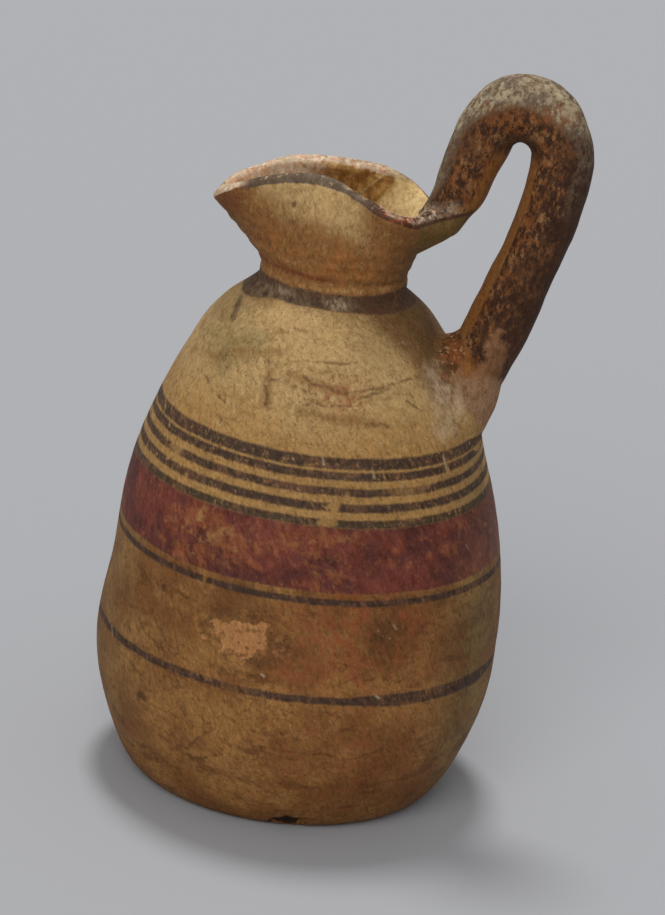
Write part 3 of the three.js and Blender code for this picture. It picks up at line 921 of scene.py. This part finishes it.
UNDER_CROWN = [
    ((31, -4, 153.6), (4, 6, 2.4), 0.7, 2.4, 76, 0.8, 1),
    ((41, -4, 156), (4.5, 6, 1.8), 0.7, 2.4, 79, 0.8, 1),
]
BARE_PATCHES = [
    ((36.4, -6.2, 103.6), (2.5, 3, 4.8), 0.5, 2.4, 78, 0.3, 1),
    ((35.4, -6.2, 98.5), (3.4, 3, 4), 0.5, 2.4, 80, 0.4, 1),
]

# Strokes: the places that each is drawn through
SMEARS = [
    [(-26, -13, 95.5), (-19.4, -21, 97.5), (-14.6, -22.7, 100), (-5.8, -24.8, 102)],
    [(-2.6, -27.6, 98.4), (3, -28.4, 97.7), (9.2, -27.4, 97)],
    [(1, -31, 92.6), (8, -30.6, 91.8), (15.8, -27.5, 91.5)],
    [(-7.2, -27.5, 98.2), (-6.3, -30.6, 92.7)],
]
HAIRLINES = [
    [(-21.8, -21.4, 93.9), (-18.9, -25.2, 92), (-15.6, -28.1, 90.4)],
    [(-8, -25.7, 100.4), (-7.2, -28.1, 96.8), (-6.3, -30.6, 92.7)],
    [(-2.8, -27.2, 99.1), (3, -28.4, 97.7), (8.3, -27.7, 96.9)],
    [(-9, -27.4, 97.4), (-3.4, -28.5, 97.1), (3.4, -29.4, 95.9)],
    [(-0.8, -25.7, 101.8), (6.6, -24.8, 101.8), (10.2, -23.2, 102.4)],
    [(-3.5, -21.2, 106.8), (1, -23, 105.1)],
    [(9.2, -27.4, 97), (15.7, -23.6, 97.9), (22.5, -15.8, 99.6)],
    [(12, -26.9, 96), (18, -22, 98.2)],
    [(15.8, -27.5, 91.5), (18.6, -26.1, 90.7)],
    [(20.9, -21.3, 95.1), (24, -19.4, 93.3)],
    [(0.7, -30.5, 94), (6.8, -29.5, 94.4), (10.6, -28.2, 94.6)],
    [(-23.4, -33.6, 22), (-20.1, -35.8, 17.3), (-13.1, -38.8, 16.7), (-8.9, -41.3, 22.2)],
    [(-12.6, -38.1, 13.9), (-5.5, -40.8, 17.7), (3.6, -41.2, 18.6), (6.5, -40.2, 16.3)],
    [(0.4, -43, 28.1), (4.2, -42.5, 25.5), (10.9, -41.1, 24.7)],
    [(-25.4, -34, 45.1), (-20.6, -37.6, 39.5), (-18, -39, 37)],
    [(14, -40, 22), (20.9, -37.1, 20), (27, -33, 22.5)],
]
WHITE_SCRATCHES = [
    [(36.6, -15.7, 64.3), (38.9, -12.2, 58.8)],
    [(24.9, -35.2, 35.0), (25.5, -34.8, 34.5)],
    [(-35.4, -24.5, 34.9), (-34.7, -25.4, 33.2)],
    [(26.4, -32.8, 50.4), (27.0, -32.5, 49.4)],
    [(1.6, -42.8, 38.2), (2.2, -42.8, 37.9)],
    [(-8.8, -39.4, 68.5), (-7.9, -39.4, 67.2)],
    [(17.3, -30.6, 83.2), (18, -30.9, 80.9)],
    [(29.8, -17.9, 84), (30.7, -17.9, 81.4)],
    [(31.7, -14.3, 84), (32.5, -14.1, 81.7)],
    [(7.2, -33.7, 84.8), (7.8, -34, 83)],
]
DRIP = [[(-18.9, -8.6, 108.4), (-18.4, -12.6, 106.2), (-18, -15.4, 104.5)]]
FORK_RIDGE = [[(29.2, -6, 105.5), (30.6, -7, 102.4), (31.2, -7.6, 98.6)]]


def ticks_of(g):
    """Small dark upright flecks, where the fine pits of the clay hold dirt."""
    ticks = g.noise(1.2, 2, 6, 0.62, (1.6, 1.6, 0.55), WISP_TWIST)
    return ticks.rise(0.585, 0.68) * g.cloud.rise(0.3, 0.55)


def slip(g):
    """The unpainted ground of the body, from the ochre foot to the cream shoulder."""
    height = g.z + g.cloud.sway(14)
    g.colour = g.mix(g.cloud.rise(0.38, 0.64), OCHRE, OCHRE_LIGHT)
    g.coat(height.rise(54, 68), GOLD)
    g.coat(height.rise(84, 97), CREAM)
    low = g.z.rise(74, 56)
    shade = g.mix(low, CREAM_SHADE, OCHRE_SHADE)
    light = g.mix(low, CREAM_LIGHT, OCHRE_LIGHT)
    g.coat(g.mottle.rise(0.50, 0.68) * 0.5, shade)
    g.coat(g.broad.rise(0.46, 0.66) * low * 0.4, OCHRE_SHADE)
    g.coat(g.mottle.rise(0.46, 0.32) * 0.5, light)
    smear = g.noise(5, 4, 18, 0.68, (0.5, 0.5, 1.5))
    g.coat(smear.rise(0.52, 0.66) * 0.55, shade)
    swirl = g.thread(0.022, 0.004, 7, 3, 19, 0.6, (0.8, 0.8, 1.1))
    g.coat(swirl * g.cloud.rise(0.4, 0.6) * 0.4, shade)
    # olive towards both sides of the body as the camera sees it: partly the clay's own tint, partly painted
    # shade where the body turns from the light
    across = g.x + g.y * 0.17
    sides = across.rise(26, 42) * (g.y.rise(4, -12) * 0.7 + 0.3) | across.rise(-26, -43) * 0.6
    g.coat(sides * g.cloud.rise(0.3, 0.52) * 0.5, OLIVE)
    g.coat(ticks_of(g) * 0.42, EARTH)


def shoulder_shadow_and_accretion(g):
    """Painted shadow on the shoulder between the neck and the handle's foot, where the mouth's back lobe and
    the handle's root shade it, and the chalky accretion beside that foot.
    """
    aside = abs(g.y) + g.cloud.sway(4)
    shade = (aside + (g.z - 104) * 0.1).rise(17.5, 13.5) * g.x.rise(6, 12) * (g.z + g.x * 0.5).rise(106, 110)
    # painted shadow of the mouth's back lobe and the handle's root
    g.coat(shade * g.mottle.rise(0.24, 0.44) * 0.8, SHADED)
    # painted shade in the corner of the shoulder under the handle's root
    g.coat(aside.rise(13, 8) * g.x.rise(10, 16) * g.z.rise(99, 104) * 0.55, NECK_DARK)
    g.coat(g.spots(CHALK_SPOTS) * g.mottle.rise(0.3, 0.5) * 0.68, ACCRETION)


def stains(g):
    """Olive clouds, the reddish blush in front, smears, dark specks, root marks and hairlines."""
    g.coat(g.spots(OLIVE_CLOUDS) * 0.5, OLIVE)
    g.coat(g.spots(BLUSHES) * g.mottle.rise(0.34, 0.58) * 0.76, BLUSH)
    g.coat(g.spots(SMUDGES), EARTH)
    g.coat(g.strokes(SMEARS, 1.6, 1.0, g.wavering()) * g.mottle.rise(0.26, 0.5) * 0.75, SMEAR)
    hair = g.strokes(HAIRLINES, 0.5, 0.4, g.wavering())
    roots = g.thread(0.006, 0.0018, 26, 0.6, 13, 0.55, (0.6, 0.6, 1.6)) * g.noise(22, 2, 14).rise(0.46, 0.6)
    marks = (hair | roots * 0.45) * g.speck.rise(0.28, 0.5)
    g.coat(marks * 0.65, g.mix(g.z.rise(74, 56), HAIR, EARTH))
    g.coat(g.speck.rise(0.64, 0.74) * g.noise(7, 2, 17).rise(0.42, 0.60) * 0.6, EARTH)


def wear_of(g, low, high, seed):
    """Where paint has gone: ragged, drawn out sideways, and torn by the fine structure."""
    sideways = g.noise(4.5, 3, seed, 0.62, (0.45, 0.45, 1.3))
    return (sideways + g.wisp.sway(0.6) + g.mottle.sway(0.4)).rise(low, high)


def painted_height(g):
    """Height, as the painter's hand wandered round the jug."""
    return g.z + g.noise(45, 1, 41).sway(1.1) + g.noise(6, 2, 42).sway(0.5) + g.speck.sway(0.45)


def painted_lines(g, height):
    """The dark lines round the body, thin, nicked and broken in places. The lowest swells to the right."""
    thin = wear_of(g, 0.46, 0.66, 21)
    gone = wear_of(g, 0.62, 0.78, 22)
    nicks = g.noise(0.5, 1, 23, 0.55, (1, 1, 0.3), 0.014).rise(0.60, 0.72) * g.noise(9, 2, 24).rise(0.46, 0.62)
    left = 1 - (gone * 0.75 | g.spots(LINE_BREAKS) | nicks * 0.5 | g.speck.rise(0.42, 0.30) * 0.4)
    paint = g.mix(thin * 0.8, LINE, LINE_THIN)
    lines = most(height.line(*place, 0.32) for place in LINES[:-1]) | height.line(*UNDER_LINE, 0.28)
    g.coat(lines * left * 0.94, paint)
    g.coat(height.line(*LINES[-1], 0.3) * left * 0.92, g.mix(thin * 0.7, GREY_LINE, LINE_THIN))
    swell = g.x.rise(16, 30) * g.y.rise(0, -12)
    away = abs(height - LOW_LINE[0]) - (swell * 1.2 + LOW_LINE[1]) * 0.5
    g.coat(away.rise(0.34, -0.34) * left * 0.92, paint)


def flake_marks(g):
    """The chipped slip in front: a pale ragged flake, thinner to its right, with a darker edge."""
    g.coat(g.spot(FLAKE_CENTRE, (7.2, 6, 4.6), 0.75, 3.2, 43, 0.2) * 0.45, EARTH)
    flake = g.spot(FLAKE_CENTRE, (6.4, 6, 3.9), 0.75, 3.2, 43, 0.12)
    flake = flake * (1 - g.noise(1.3, 2, 44).rise(0.54, 0.66) * 0.7)
    torn = g.spot((3.4, -42.6, 44.2), (3.2, 6, 2.8), 0.8, 2, 49, 0.6) * g.noise(1.6, 2, 52).rise(0.46, 0.6)
    g.coat(flake * 0.95 | torn * 0.4, g.mix(g.mottle.rise(0.4, 0.62) * 0.65, FLAKE, OCHRE_LIGHT))


def red_band(g, height):
    """The wide dull red band, worn to orange-brown in places, most on the left. Gives where it lies."""
    band = height.rise(RED_LOW - 0.3, RED_LOW + 0.3) * height.rise(RED_TOP + 0.4, RED_TOP - 0.3)
    heat = g.spots(RED_WEAR)
    tears = g.noise(1.5, 4, 36, 0.72, (0.75, 0.75, 0.6), WISP_TWIST)
    sideways = g.noise(7, 3, 31, 0.62, (0.45, 0.45, 1.3))
    worn = (tears + heat * 0.18 + sideways.sway(0.5)).rise(0.51, 0.74)
    red = g.mix(g.noise(9, 2, 37, 0.65).rise(0.38, 0.64), RED, RED_DEEP)
    red = g.mix(worn * 0.85, red, RED_WORN)
    bare = heat * g.noise(2.4, 2, 38, 0.7).rise(0.50, 0.66)
    red = g.mix(ticks_of(g) * 0.4, red, LINE)
    red = g.mix(g.speck.rise(0.36, 0.28) * 0.35, red, RED_WORN)
    g.coat(band * (1 - bare * 0.55), g.mix(g.x.rise(33, 43) * 0.3, red, RED_GREY))
    return band


def neck_band(g, share):
    """The dark paint at the foot of the neck, greyer in front and browner towards the handle."""
    paint = g.mix(g.mottle.rise(0.42, 0.6), BAND, BAND_LIGHT)
    dark = g.x.rise(4, 9) | g.x.rise(-13.5, -17) * 0.7 | g.z.rise(111.6, 112.6) * 0.6
    paint = g.mix(dark * g.mottle.rise(0.26, 0.54) * 0.9, paint, BAND_DARK)
    paint = g.mix(g.spots(BAND_WEAR) * g.wisp.rise(0.36, 0.56) * 0.8, paint, BAND_PALE)
    g.coat(share * 0.92, paint)


def neck_band_share(g, top=NECK_BAND_TOP):
    """Where that paint lies: from a little way out on the shoulder up to a height."""
    low_edge = 110.3 - g.x.rise(-9, -19) * 2.0 - g.x.rise(7, 11) * 0.5
    wander = g.z + g.noise(5, 2, 45).sway(1.0) + g.mottle.sway(0.5)
    share = (wander - low_edge).rise(-0.25, 0.25) * wander.rise(top + 0.3, top - 0.3)
    return share * (1 - wear_of(g, 0.56, 0.78, 47) * 0.5)


def body_material():
    g = Graph("body_clay")
    slip(g)
    stains(g)
    height = painted_height(g)
    flake_marks(g)
    band = red_band(g, height)
    painted_lines(g, height)
    # painted shadow between the neck and the handle's foot, and the chalky accretion
    shoulder_shadow_and_accretion(g)
    drip = g.strokes(DRIP, 1.7, 0.5, g.wavering()) * g.mottle.rise(0.2, 0.42)
    neck_band(g, neck_band_share(g, 118) | drip * 0.8)
    star = g.spot((9, -28, 96), (4.5, 5, 3), 0.8, 2, 48, 0.9)
    g.coat(star * g.speck.rise(0.40, 0.60) * 0.55, STAR)
    dust = g.speck.rise(0.30, 0.24) * g.noise(12, 2, 55).rise(0.52, 0.62)
    g.coat(g.strokes(WHITE_SCRATCHES, 0.35, 0.3, g.place) * 0.5 | dust * 0.4, CHALK)
    g.coat(g.spot(CHIP_CENTRE, (4.2, 3, 1.5), 0.6, 2, 56, 0.12), CHIP)
    return g.finish(1, 0.58, 0.22, 1.4, gloss=band * 0.04)


def hollow_material():
    """The inside of the body: bare turned clay."""
    g = Graph("body_inside_clay")
    g.colour = g.mix(g.mottle.rise(0.4, 0.66), HOLLOW, HOLLOW_SHADE)
    return g.finish(0, 0.85, 0.1, 1.5)


def fitted(value, run, curve, middle, scale, degree):
    """A polynomial of a field, fitted to a curve given by its run and its values."""
    factors = np.polyfit((run - middle) * scale, curve, degree).tolist()
    value = (value - middle) * scale
    return reduce(lambda total, factor: total * value + factor, factors)


def above_lip(g):
    """How far a place is above the lip's middle line, on the side that faces the camera."""
    line = hand_lean(lip_line(400))
    line = line[line[:, 1] < 0.5]
    return g.z - fitted(g.x, line[:, 0], line[:, 2], 0, 0.05, 6)


def inward_of(g):
    """How far a place lies from the coil's middle line towards the gap under the arch."""
    x, z = HANDLE_LINE.T
    crown = np.arange(len(z)) < np.argmax(z)
    up = crown & (z > 129) & (z < ARCH_Z + 1)
    down = ~crown & (z > 86) & (z < ARCH_Z + 1)
    drop_x = fitted(g.z, z[down], x[down], 115, 0.04, 5)
    rise_x = fitted(g.z, z[up], x[up], 138, 0.1, 2)
    away = g.vector("SUBTRACT", g.place, (ARCH_X, 0, ARCH_Z))
    arch = ARCH_RADIUS - g.vector("LENGTH", g.vector("MULTIPLY", away, (1, 0, 1)), out=1)
    behind = (g.x - g.z * 0.4).rise(-21.5, -20.5)
    limbs = (drop_x - g.x) * behind + (g.x - rise_x) * (1 - behind)
    above = g.z.rise(ARCH_Z - 2, ARCH_Z + 2)
    return arch * above + limbs * (1 - above)


def neck_slip_and_shade(g):
    """The neck's slip: cream above, orange-brown low down, under the spout and towards the handle, with painted
    shade under the handle's root and the spout, and pale ridges that are partly a painted highlight.
    """
    g.colour = g.mix(g.mottle.rise(0.5, 0.72) * 0.5, CREAM, CREAM_SHADE)
    g.coat(g.mottle.rise(0.46, 0.34) * 0.4, CREAM_LIGHT)
    warm = ((g.z + g.cloud.sway(10) + g.x * 0.2).rise(129.5, 123.5)
            | (g.x + g.cloud.sway(10) - g.z * 0.25).rise(-29.5, -21)
            | (g.x - g.cloud.sway(6)).rise(-15.5, -19))
    brown = g.mix(g.mottle.rise(0.42, 0.58), NECK_BROWN, BODY_SHADE)
    g.coat(warm * 0.88, g.mix(g.mottle.rise(0.45, 0.33) * 0.8, brown, GOLD))
    cracks = g.thread(0.02, 0.006, 4.2, 2.5, 62, 0.55, (0.8, 0.8, 1.2)) * g.cloud.rise(0.34, 0.54)
    g.coat(cracks * g.z.rise(130, 126) * 0.38, EARTH)
    # the lower left is a browner coat with a clear edge
    lower_left = (g.z + g.mottle.sway(0.8) + g.x * 0.12).rise(124.2, 123.6) * g.x.rise(-8, -13)
    g.coat(lower_left * 0.4, NECK_BROWN)
    # painted shade: darker on the neck's back low down under the handle's root, and on the spout's outside
    # towards its tip
    g.coat(g.x.rise(11, 17) * g.z.rise(128, 122) * 0.6 | g.x.rise(-19, -24) * 0.4, NECK_DARK)
    g.coat(g.spots(NECK_GLOWS) * g.mottle.rise(0.36, 0.6) * 0.5, NECK_GLOW)
    spout = g.spot((-23.5, -5.5, 127.6), (3.4, 6, 3), 0.7, 2.4, 60, 0.8)
    g.coat(spout * g.wisp.rise(0.4, 0.6) * 0.8, NECK_RED)
    fold = g.z + g.noise(9, 2, 61).sway(1.8)
    g.coat(fold.line(116.5, 0.9, 0.5) * g.x.rise(5, 0) * g.mottle.rise(0.3, 0.5) * 0.8, NECK_RED)
    # pale gold on the tops of the low ridges: worn slip, and partly a painted highlight where the light catches
    # them
    ridge_tops = fold.line(114.4, 0.9, 0.7) | fold.line(118.7, 0.6, 0.6) * g.x.rise(2, -3) * 0.7
    g.coat(ridge_tops * g.mottle.rise(0.56, 0.42) * 0.6, GOLD_HIGHLIGHT)
    dot = g.spot((-9, -11.7, 130.2), (0.6, 0.6, 0.6), 0.4, 1, 88, 0.5)
    g.coat(dot * 0.8 | ticks_of(g) * 0.35, EARTH)


def worn_lip(g):
    """The chalky clay where the lip and the spout have lost their slip. It is cream towards the handle."""
    bare = g.mix(g.noise(1.6, 2, 67, 0.7).rise(0.46, 0.66), WORN_LIP, LIP_PINK)
    bare = g.mix(g.speck.rise(0.52, 0.68) * 0.6, bare, CREAM_SHADE)
    return g.mix(g.x.rise(5, 10) * g.y.rise(0, 3) * 0.85, bare, LIP_CREAM)


def rim_paint(g):
    """The thin dark line on the lip, worn away round the spout, and reddish towards the handle."""
    above = above_lip(g)
    uneven = above + g.speck.sway(0.5) + g.noise(4, 2, 63).sway(0.7)
    line = (uneven - g.x.rise(-6, 2) * 0.35).rise(-0.15, 0.2)
    worn = ((g.x - g.cloud.sway(5)).rise(-19, -22)
            | g.y.rise(2, 6) * g.x.rise(11, 6)
            | g.noise(1.2, 2, 65).rise(0.58, 0.68) * 0.6
            | above.rise(1.0, 1.5) * g.mottle.rise(0.40, 0.54) * g.x.rise(-1, 3) * 0.75)
    paint = g.mix(g.x.rise(4, 10), RIM_GREY, RIM_BROWN)
    red = g.x.rise(9, 12) * g.x.rise(18, 16) * g.noise(2.2, 2, 66).rise(0.40, 0.52)
    paint = g.mix(red * 0.9, paint, RIM_RED)
    g.coat(uneven.rise(0.7, 1.1) * worn, worn_lip(g))
    g.coat(line * (1 - worn) * 0.94, paint)


def neck_material():
    g = Graph("neck_clay")
    neck_slip_and_shade(g)
    rim_paint(g)
    g.coat(g.speck.rise(0.66, 0.74) * g.noise(6, 2, 68).rise(0.46, 0.62) * 0.5, EARTH)
    neck_band(g, neck_band_share(g) * g.z.rise(116, 115))
    wrinkles = abs(g.noise(2.2, 3, 89, 0.6, (1, 1, 0.6)) - 0.5) * g.z.rise(128, 122)
    return g.finish(1.1, 0.6, 0.2, 1, relief=wrinkles * 0.35)


def inside_material():
    """The mouth's inner face: yellow-brown, partly as painted shade on the front lobe's far wall, bright cream
    in the lobe at the back, chalky in the spout, and darker down the throat as painted shade.
    """
    g = Graph("neck_inside_clay")
    # yellow-brown: the clay's colour, and partly painted shade on the front lobe's far wall
    g.colour = g.mix(g.mottle.rise(0.42, 0.62), INSIDE_BROWN, INSIDE_OCHRE)
    crease = g.x - (g.z - CREASE_Z) * CREASE_SLOPE - CREASE_X
    cream = g.mix(g.mottle.rise(0.5, 0.72) * 0.25, INSIDE_CREAM, CREAM_SHADE)
    g.coat(crease.rise(-0.4, 0.6), cream)
    # a pale line along the crest of the second crease
    crest_line = abs(g.x - (g.z - 130) * 0.9 - 1.8).rise(0.6, 0.2) * g.z.rise(127.5, 129.5)
    g.coat(crest_line * 0.6, CREAM_LIGHT)
    spout = (g.cloud.sway(8) - g.x + (g.z - 130) * 0.6).rise(6, 13)
    g.coat(spout * 0.9, worn_lip(g))
    g.coat((above_lip(g) + g.mottle.sway(1.2)).rise(0.7, 1.3), worn_lip(g))
    # painted shade, deeper down the throat
    g.coat(g.z.rise(122, 108) * 0.6, NECK_DARK)
    return g.finish(0.9, 0.75, 0.15, 1)


def neck_lute_material():
    g = Graph("neck_lute_clay")
    neck_slip_and_shade(g)
    neck_band(g, neck_band_share(g))
    return g.finish(1.1, 0.65, 0.2, 1.3)


def coil(g):
    """The handle: dark paint worn through to orange clay, bare along its inner side, rubbed pale along
    its outer side over the crown, and bare pinkish clay at its foot."""
    inward = inward_of(g)
    flecks = g.noise(1.15, 4, 71, 0.74, (1, 1, 0.6))
    patches = g.noise(6, 3, 70, 0.6)
    low = (g.z - g.x * 0.3).rise(120, 108) * 0.05
    # the outer face of the drop, where the dark paint is drawn darker and less worn as painted shade
    outer = inward.rise(0.5, -4) * g.x.rise(34, 40)
    paint = g.mix((flecks + patches.sway(0.5) - outer * 0.06).rise(0.42, 0.60), PAINT_DARK, PAINT_BROWN)
    left_limb = g.x.rise(36, 30) * g.z.rise(160, 152)
    reach = inward.rise(-4, 4) * 0.13 + left_limb * 0.04 - low - outer * 0.07
    worn = (flecks + reach - patches.sway(0.4)).rise(0.56, 0.72)
    g.colour = g.mix(worn * 0.8, paint, g.mix(g.noise(4, 2, 72).rise(0.44, 0.6), COIL_ORANGE, COIL_TAN))
    # rubbed to cream and grey along the outer side, most on the crown
    ragged = g.mottle.sway(3)
    outside = (inward + ragged * 0.8 + g.z.rise(157, 148) * 1.6).rise(-0.6, -3.2)
    limb = (g.z + ragged - g.x * 0.5).rise(121, 129) * (g.x.rise(51, 47) + g.z.rise(148, 154) * 0.6)
    rubbed = outside * ((g.z + ragged).rise(149, 155) | g.x.rise(36, 30) * limb * 0.8
                        | g.z.rise(132, 144) * flecks.rise(0.42, 0.56) * 0.6)
    pale = g.mix((flecks + patches.sway(0.6)).rise(0.40, 0.58), CROWN_CREAM, CROWN_GREY)
    g.coat(rubbed * 0.85, g.mix(flecks.rise(0.52, 0.66) * 0.7, pale, PAINT_BROWN))
    # orange clay under the crown
    g.coat(g.spots(UNDER_CROWN) * flecks.rise(0.36, 0.56) * 0.75, COIL_ORANGE)
    g.coat(inward.rise(2.6, 4.6) * g.z.rise(ARCH_Z - 2, ARCH_Z + 1) * 0.7, PAINT_DARK)
    # the unpainted strip down the inner side, and a smooth bare patch near the foot
    strip = (inward + g.noise(7, 2, 77).sway(1.2)).rise(4.0, 4.5) * g.z.rise(ARCH_Z + 1, ARCH_Z - 3)
    g.coat(strip * 0.92, g.mix(g.mottle.rise(0.44, 0.66) * 0.45, STRIP, NECK_DARK))
    g.coat(g.spots(BARE_PATCHES) * 0.75, COIL_BARE)
    # painted shade: the outer face of the drop darker still below the crown
    g.coat(inward.rise(-3.4, -5.4) * outer * g.z.rise(148, 142) * 0.6, PAINT_DARK)
    # the bare foot: brown above, pinkish below
    height = g.z + g.mottle.sway(3) + g.cloud.sway(5)
    foot = g.mix(height.rise(101, 96.5), BODY_SHADE, FOOT_PINK)
    foot = g.mix(g.mottle.rise(0.46, 0.68) * 0.5, foot, FOOT_SHADE)
    g.coat((height + (g.x - 32) * 0.9).rise(103.5, 100.5) * 0.9, foot)


def lip_line_on_coil(g):
    """The rim's dark line runs on across the handle's root: bare clay below it, chalky clay above."""
    height = g.z - (g.x - 18) * 0.33 + g.speck.sway(0.5) + g.mottle.sway(0.6)
    near = g.x.rise(28.5, 26)
    bare = g.mix(g.mottle.rise(0.42, 0.64) * 0.6, ROOT_CLAY, ROOT_SHADE)
    g.coat(height.rise(129.6, 129.2) * near, bare)
    chalky = height.rise(129.8, 130.2) * height.rise(134, 131.5) * g.x.rise(26, 22) * g.speck.rise(0.36, 0.56)
    g.coat(chalky * 0.8, g.mix(g.mottle.rise(0.40, 0.60), WORN_LIP, CROWN_GREY))
    g.coat(height.line(129.6, 0.9, 0.3) * near * 0.9, RIM_BROWN)


def coil_material(name, rough, depth):
    """The clay of the handle, or of the collar at its root."""
    g = Graph(name)
    coil(g)
    lip_line_on_coil(g)
    return g.finish(1.1, rough, 0.2, depth)


def foot_lute_material():
    """The collar at the handle's foot: the coil's colours above, the shoulder's where it meets the body."""
    g = Graph("foot_lute_clay")
    coil(g)
    fork = g.spot((27, -3, 101), (3.4, 9, 6.4), 0.6, 2.4, 82, 0.5) * (g.x - (g.z - 100) * 0.45).rise(29.5, 28.6)
    rough = g.mix(g.mottle.rise(0.36, 0.56), FOOT_RUST, FORK_DARK)
    rough = g.mix(g.speck.rise(0.44, 0.34) * 0.8, rough, FORK_PALE)
    g.coat(fork * 0.9, rough)
    coil_colour = g.colour
    height = np.linspace(84, 109, 60)
    from_axis = g.vector("LENGTH", g.vector("MULTIPLY", g.place, (1, 1, 0)), out=1)
    off_body = from_axis - fitted(g.z, height, body_radius(height), 97, 0.1, 3)
    onto_body = (off_body + g.mottle.sway(1.6)).rise(2.4, 0.7)
    slip(g)
    # painted shadow between the neck and the handle's foot, and the chalky accretion
    shoulder_shadow_and_accretion(g)
    g.coat(painted_height(g).line(*LINES[0], 0.32) * g.speck.rise(0.30, 0.42) * 0.9, LINE)
    g.coat(fork * 0.7, rough)
    g.colour = g.mix(onto_body, coil_colour, g.colour)
    g.coat(g.strokes(FORK_RIDGE, 1.5, 0.5, g.wavering()) * 0.75, STRIP)
    return g.finish(1.1, 0.72, 0.2, 1.6, relief=fork * g.speck.sway(0.7))


# Floor and light

FLOOR_COLOUR = (0.40, 0.405, 0.42, 1)
FLOOR_REACH = 6
WORLD_COLOUR = (0.97, 0.98, 1, 1)
WORLD_STRENGTH = 0.36


def make_stage():
    mesh = bpy.data.meshes.new("floor")
    corners = [(-FLOOR_REACH, -FLOOR_REACH, 0), (FLOOR_REACH, -FLOOR_REACH, 0),
               (FLOOR_REACH, FLOOR_REACH, 0), (-FLOOR_REACH, FLOOR_REACH, 0)]
    mesh.from_pydata(corners, [], [(0, 1, 2, 3)])
    material = bpy.data.materials.new("floor")
    material.use_nodes = True
    shader = material.node_tree.nodes["Principled BSDF"]
    shader.inputs["Base Color"].default_value = FLOOR_COLOUR
    shader.inputs["Roughness"].default_value = 0.9
    mesh.materials.append(material)
    floor = place_object("floor", mesh)


def add_sun(name, azimuth, elevation, strength, softness):
    """A soft lamp that shines from that side. Azimuth 0 is on the camera's right, and 90 beyond the jug."""
    data = bpy.data.lights.new(name, "SUN")
    data.energy = strength
    data.angle = math.radians(softness)
    lamp = place_object(name, data)
    a, e = math.radians(azimuth), math.radians(elevation)
    towards = vessel_axes(math.cos(a) * math.cos(e), math.sin(a) * math.cos(e), math.sin(e))
    lamp.rotation_mode = "QUATERNION"
    lamp.rotation_quaternion = towards.to_track_quat("Z", "Y")


def make_light():
    world = bpy.data.worlds.new("room")
    bpy.context.scene.world = world
    world.use_nodes = True
    background = world.node_tree.nodes["Background"]
    background.inputs["Color"].default_value = WORLD_COLOUR
    background.inputs["Strength"].default_value = WORLD_STRENGTH
    add_sun("top_lamp", 104, 75, 1.55, 12)
    add_sun("front_lamp", 255, 36, 1.2, 40)


bpy.context.scene.view_settings.view_transform = "Standard"
make_camera()
make_stage()
make_light()

body, neck, handle = body_surface(), neck_surface(), handle_surface()
make_piece("jug_body", "body", body_material(), body,
           inside=hollow_material(), inside_from=len(body) - INSIDE_ROWS - FLOOR_ROWS - THROAT_ROWS)
make_piece("jug_neck_and_mouth", "neck_and_mouth", neck_material(), neck, True,
           inside=inside_material(), inside_from=COLLAR_ROWS + NECK_ROWS + LIP_ROWS * 2 // 3)
make_piece("neck_foot_ridge", "neck_lute", neck_lute_material(), neck_lute_rows(), True)
make_piece("jug_handle", "handle", coil_material("handle_clay", 0.62, 1.3), tucked(handle))
make_piece("handle_top_collar", "handle_top_lute", coil_material("top_lute_clay", 0.65, 1.2),
           top_lute_rows(handle, tree_of(neck, True)), True)
make_piece("handle_foot_collar", "handle_foot_lute", foot_lute_material(),
           foot_lute_rows(handle, tree_of(body)), True)
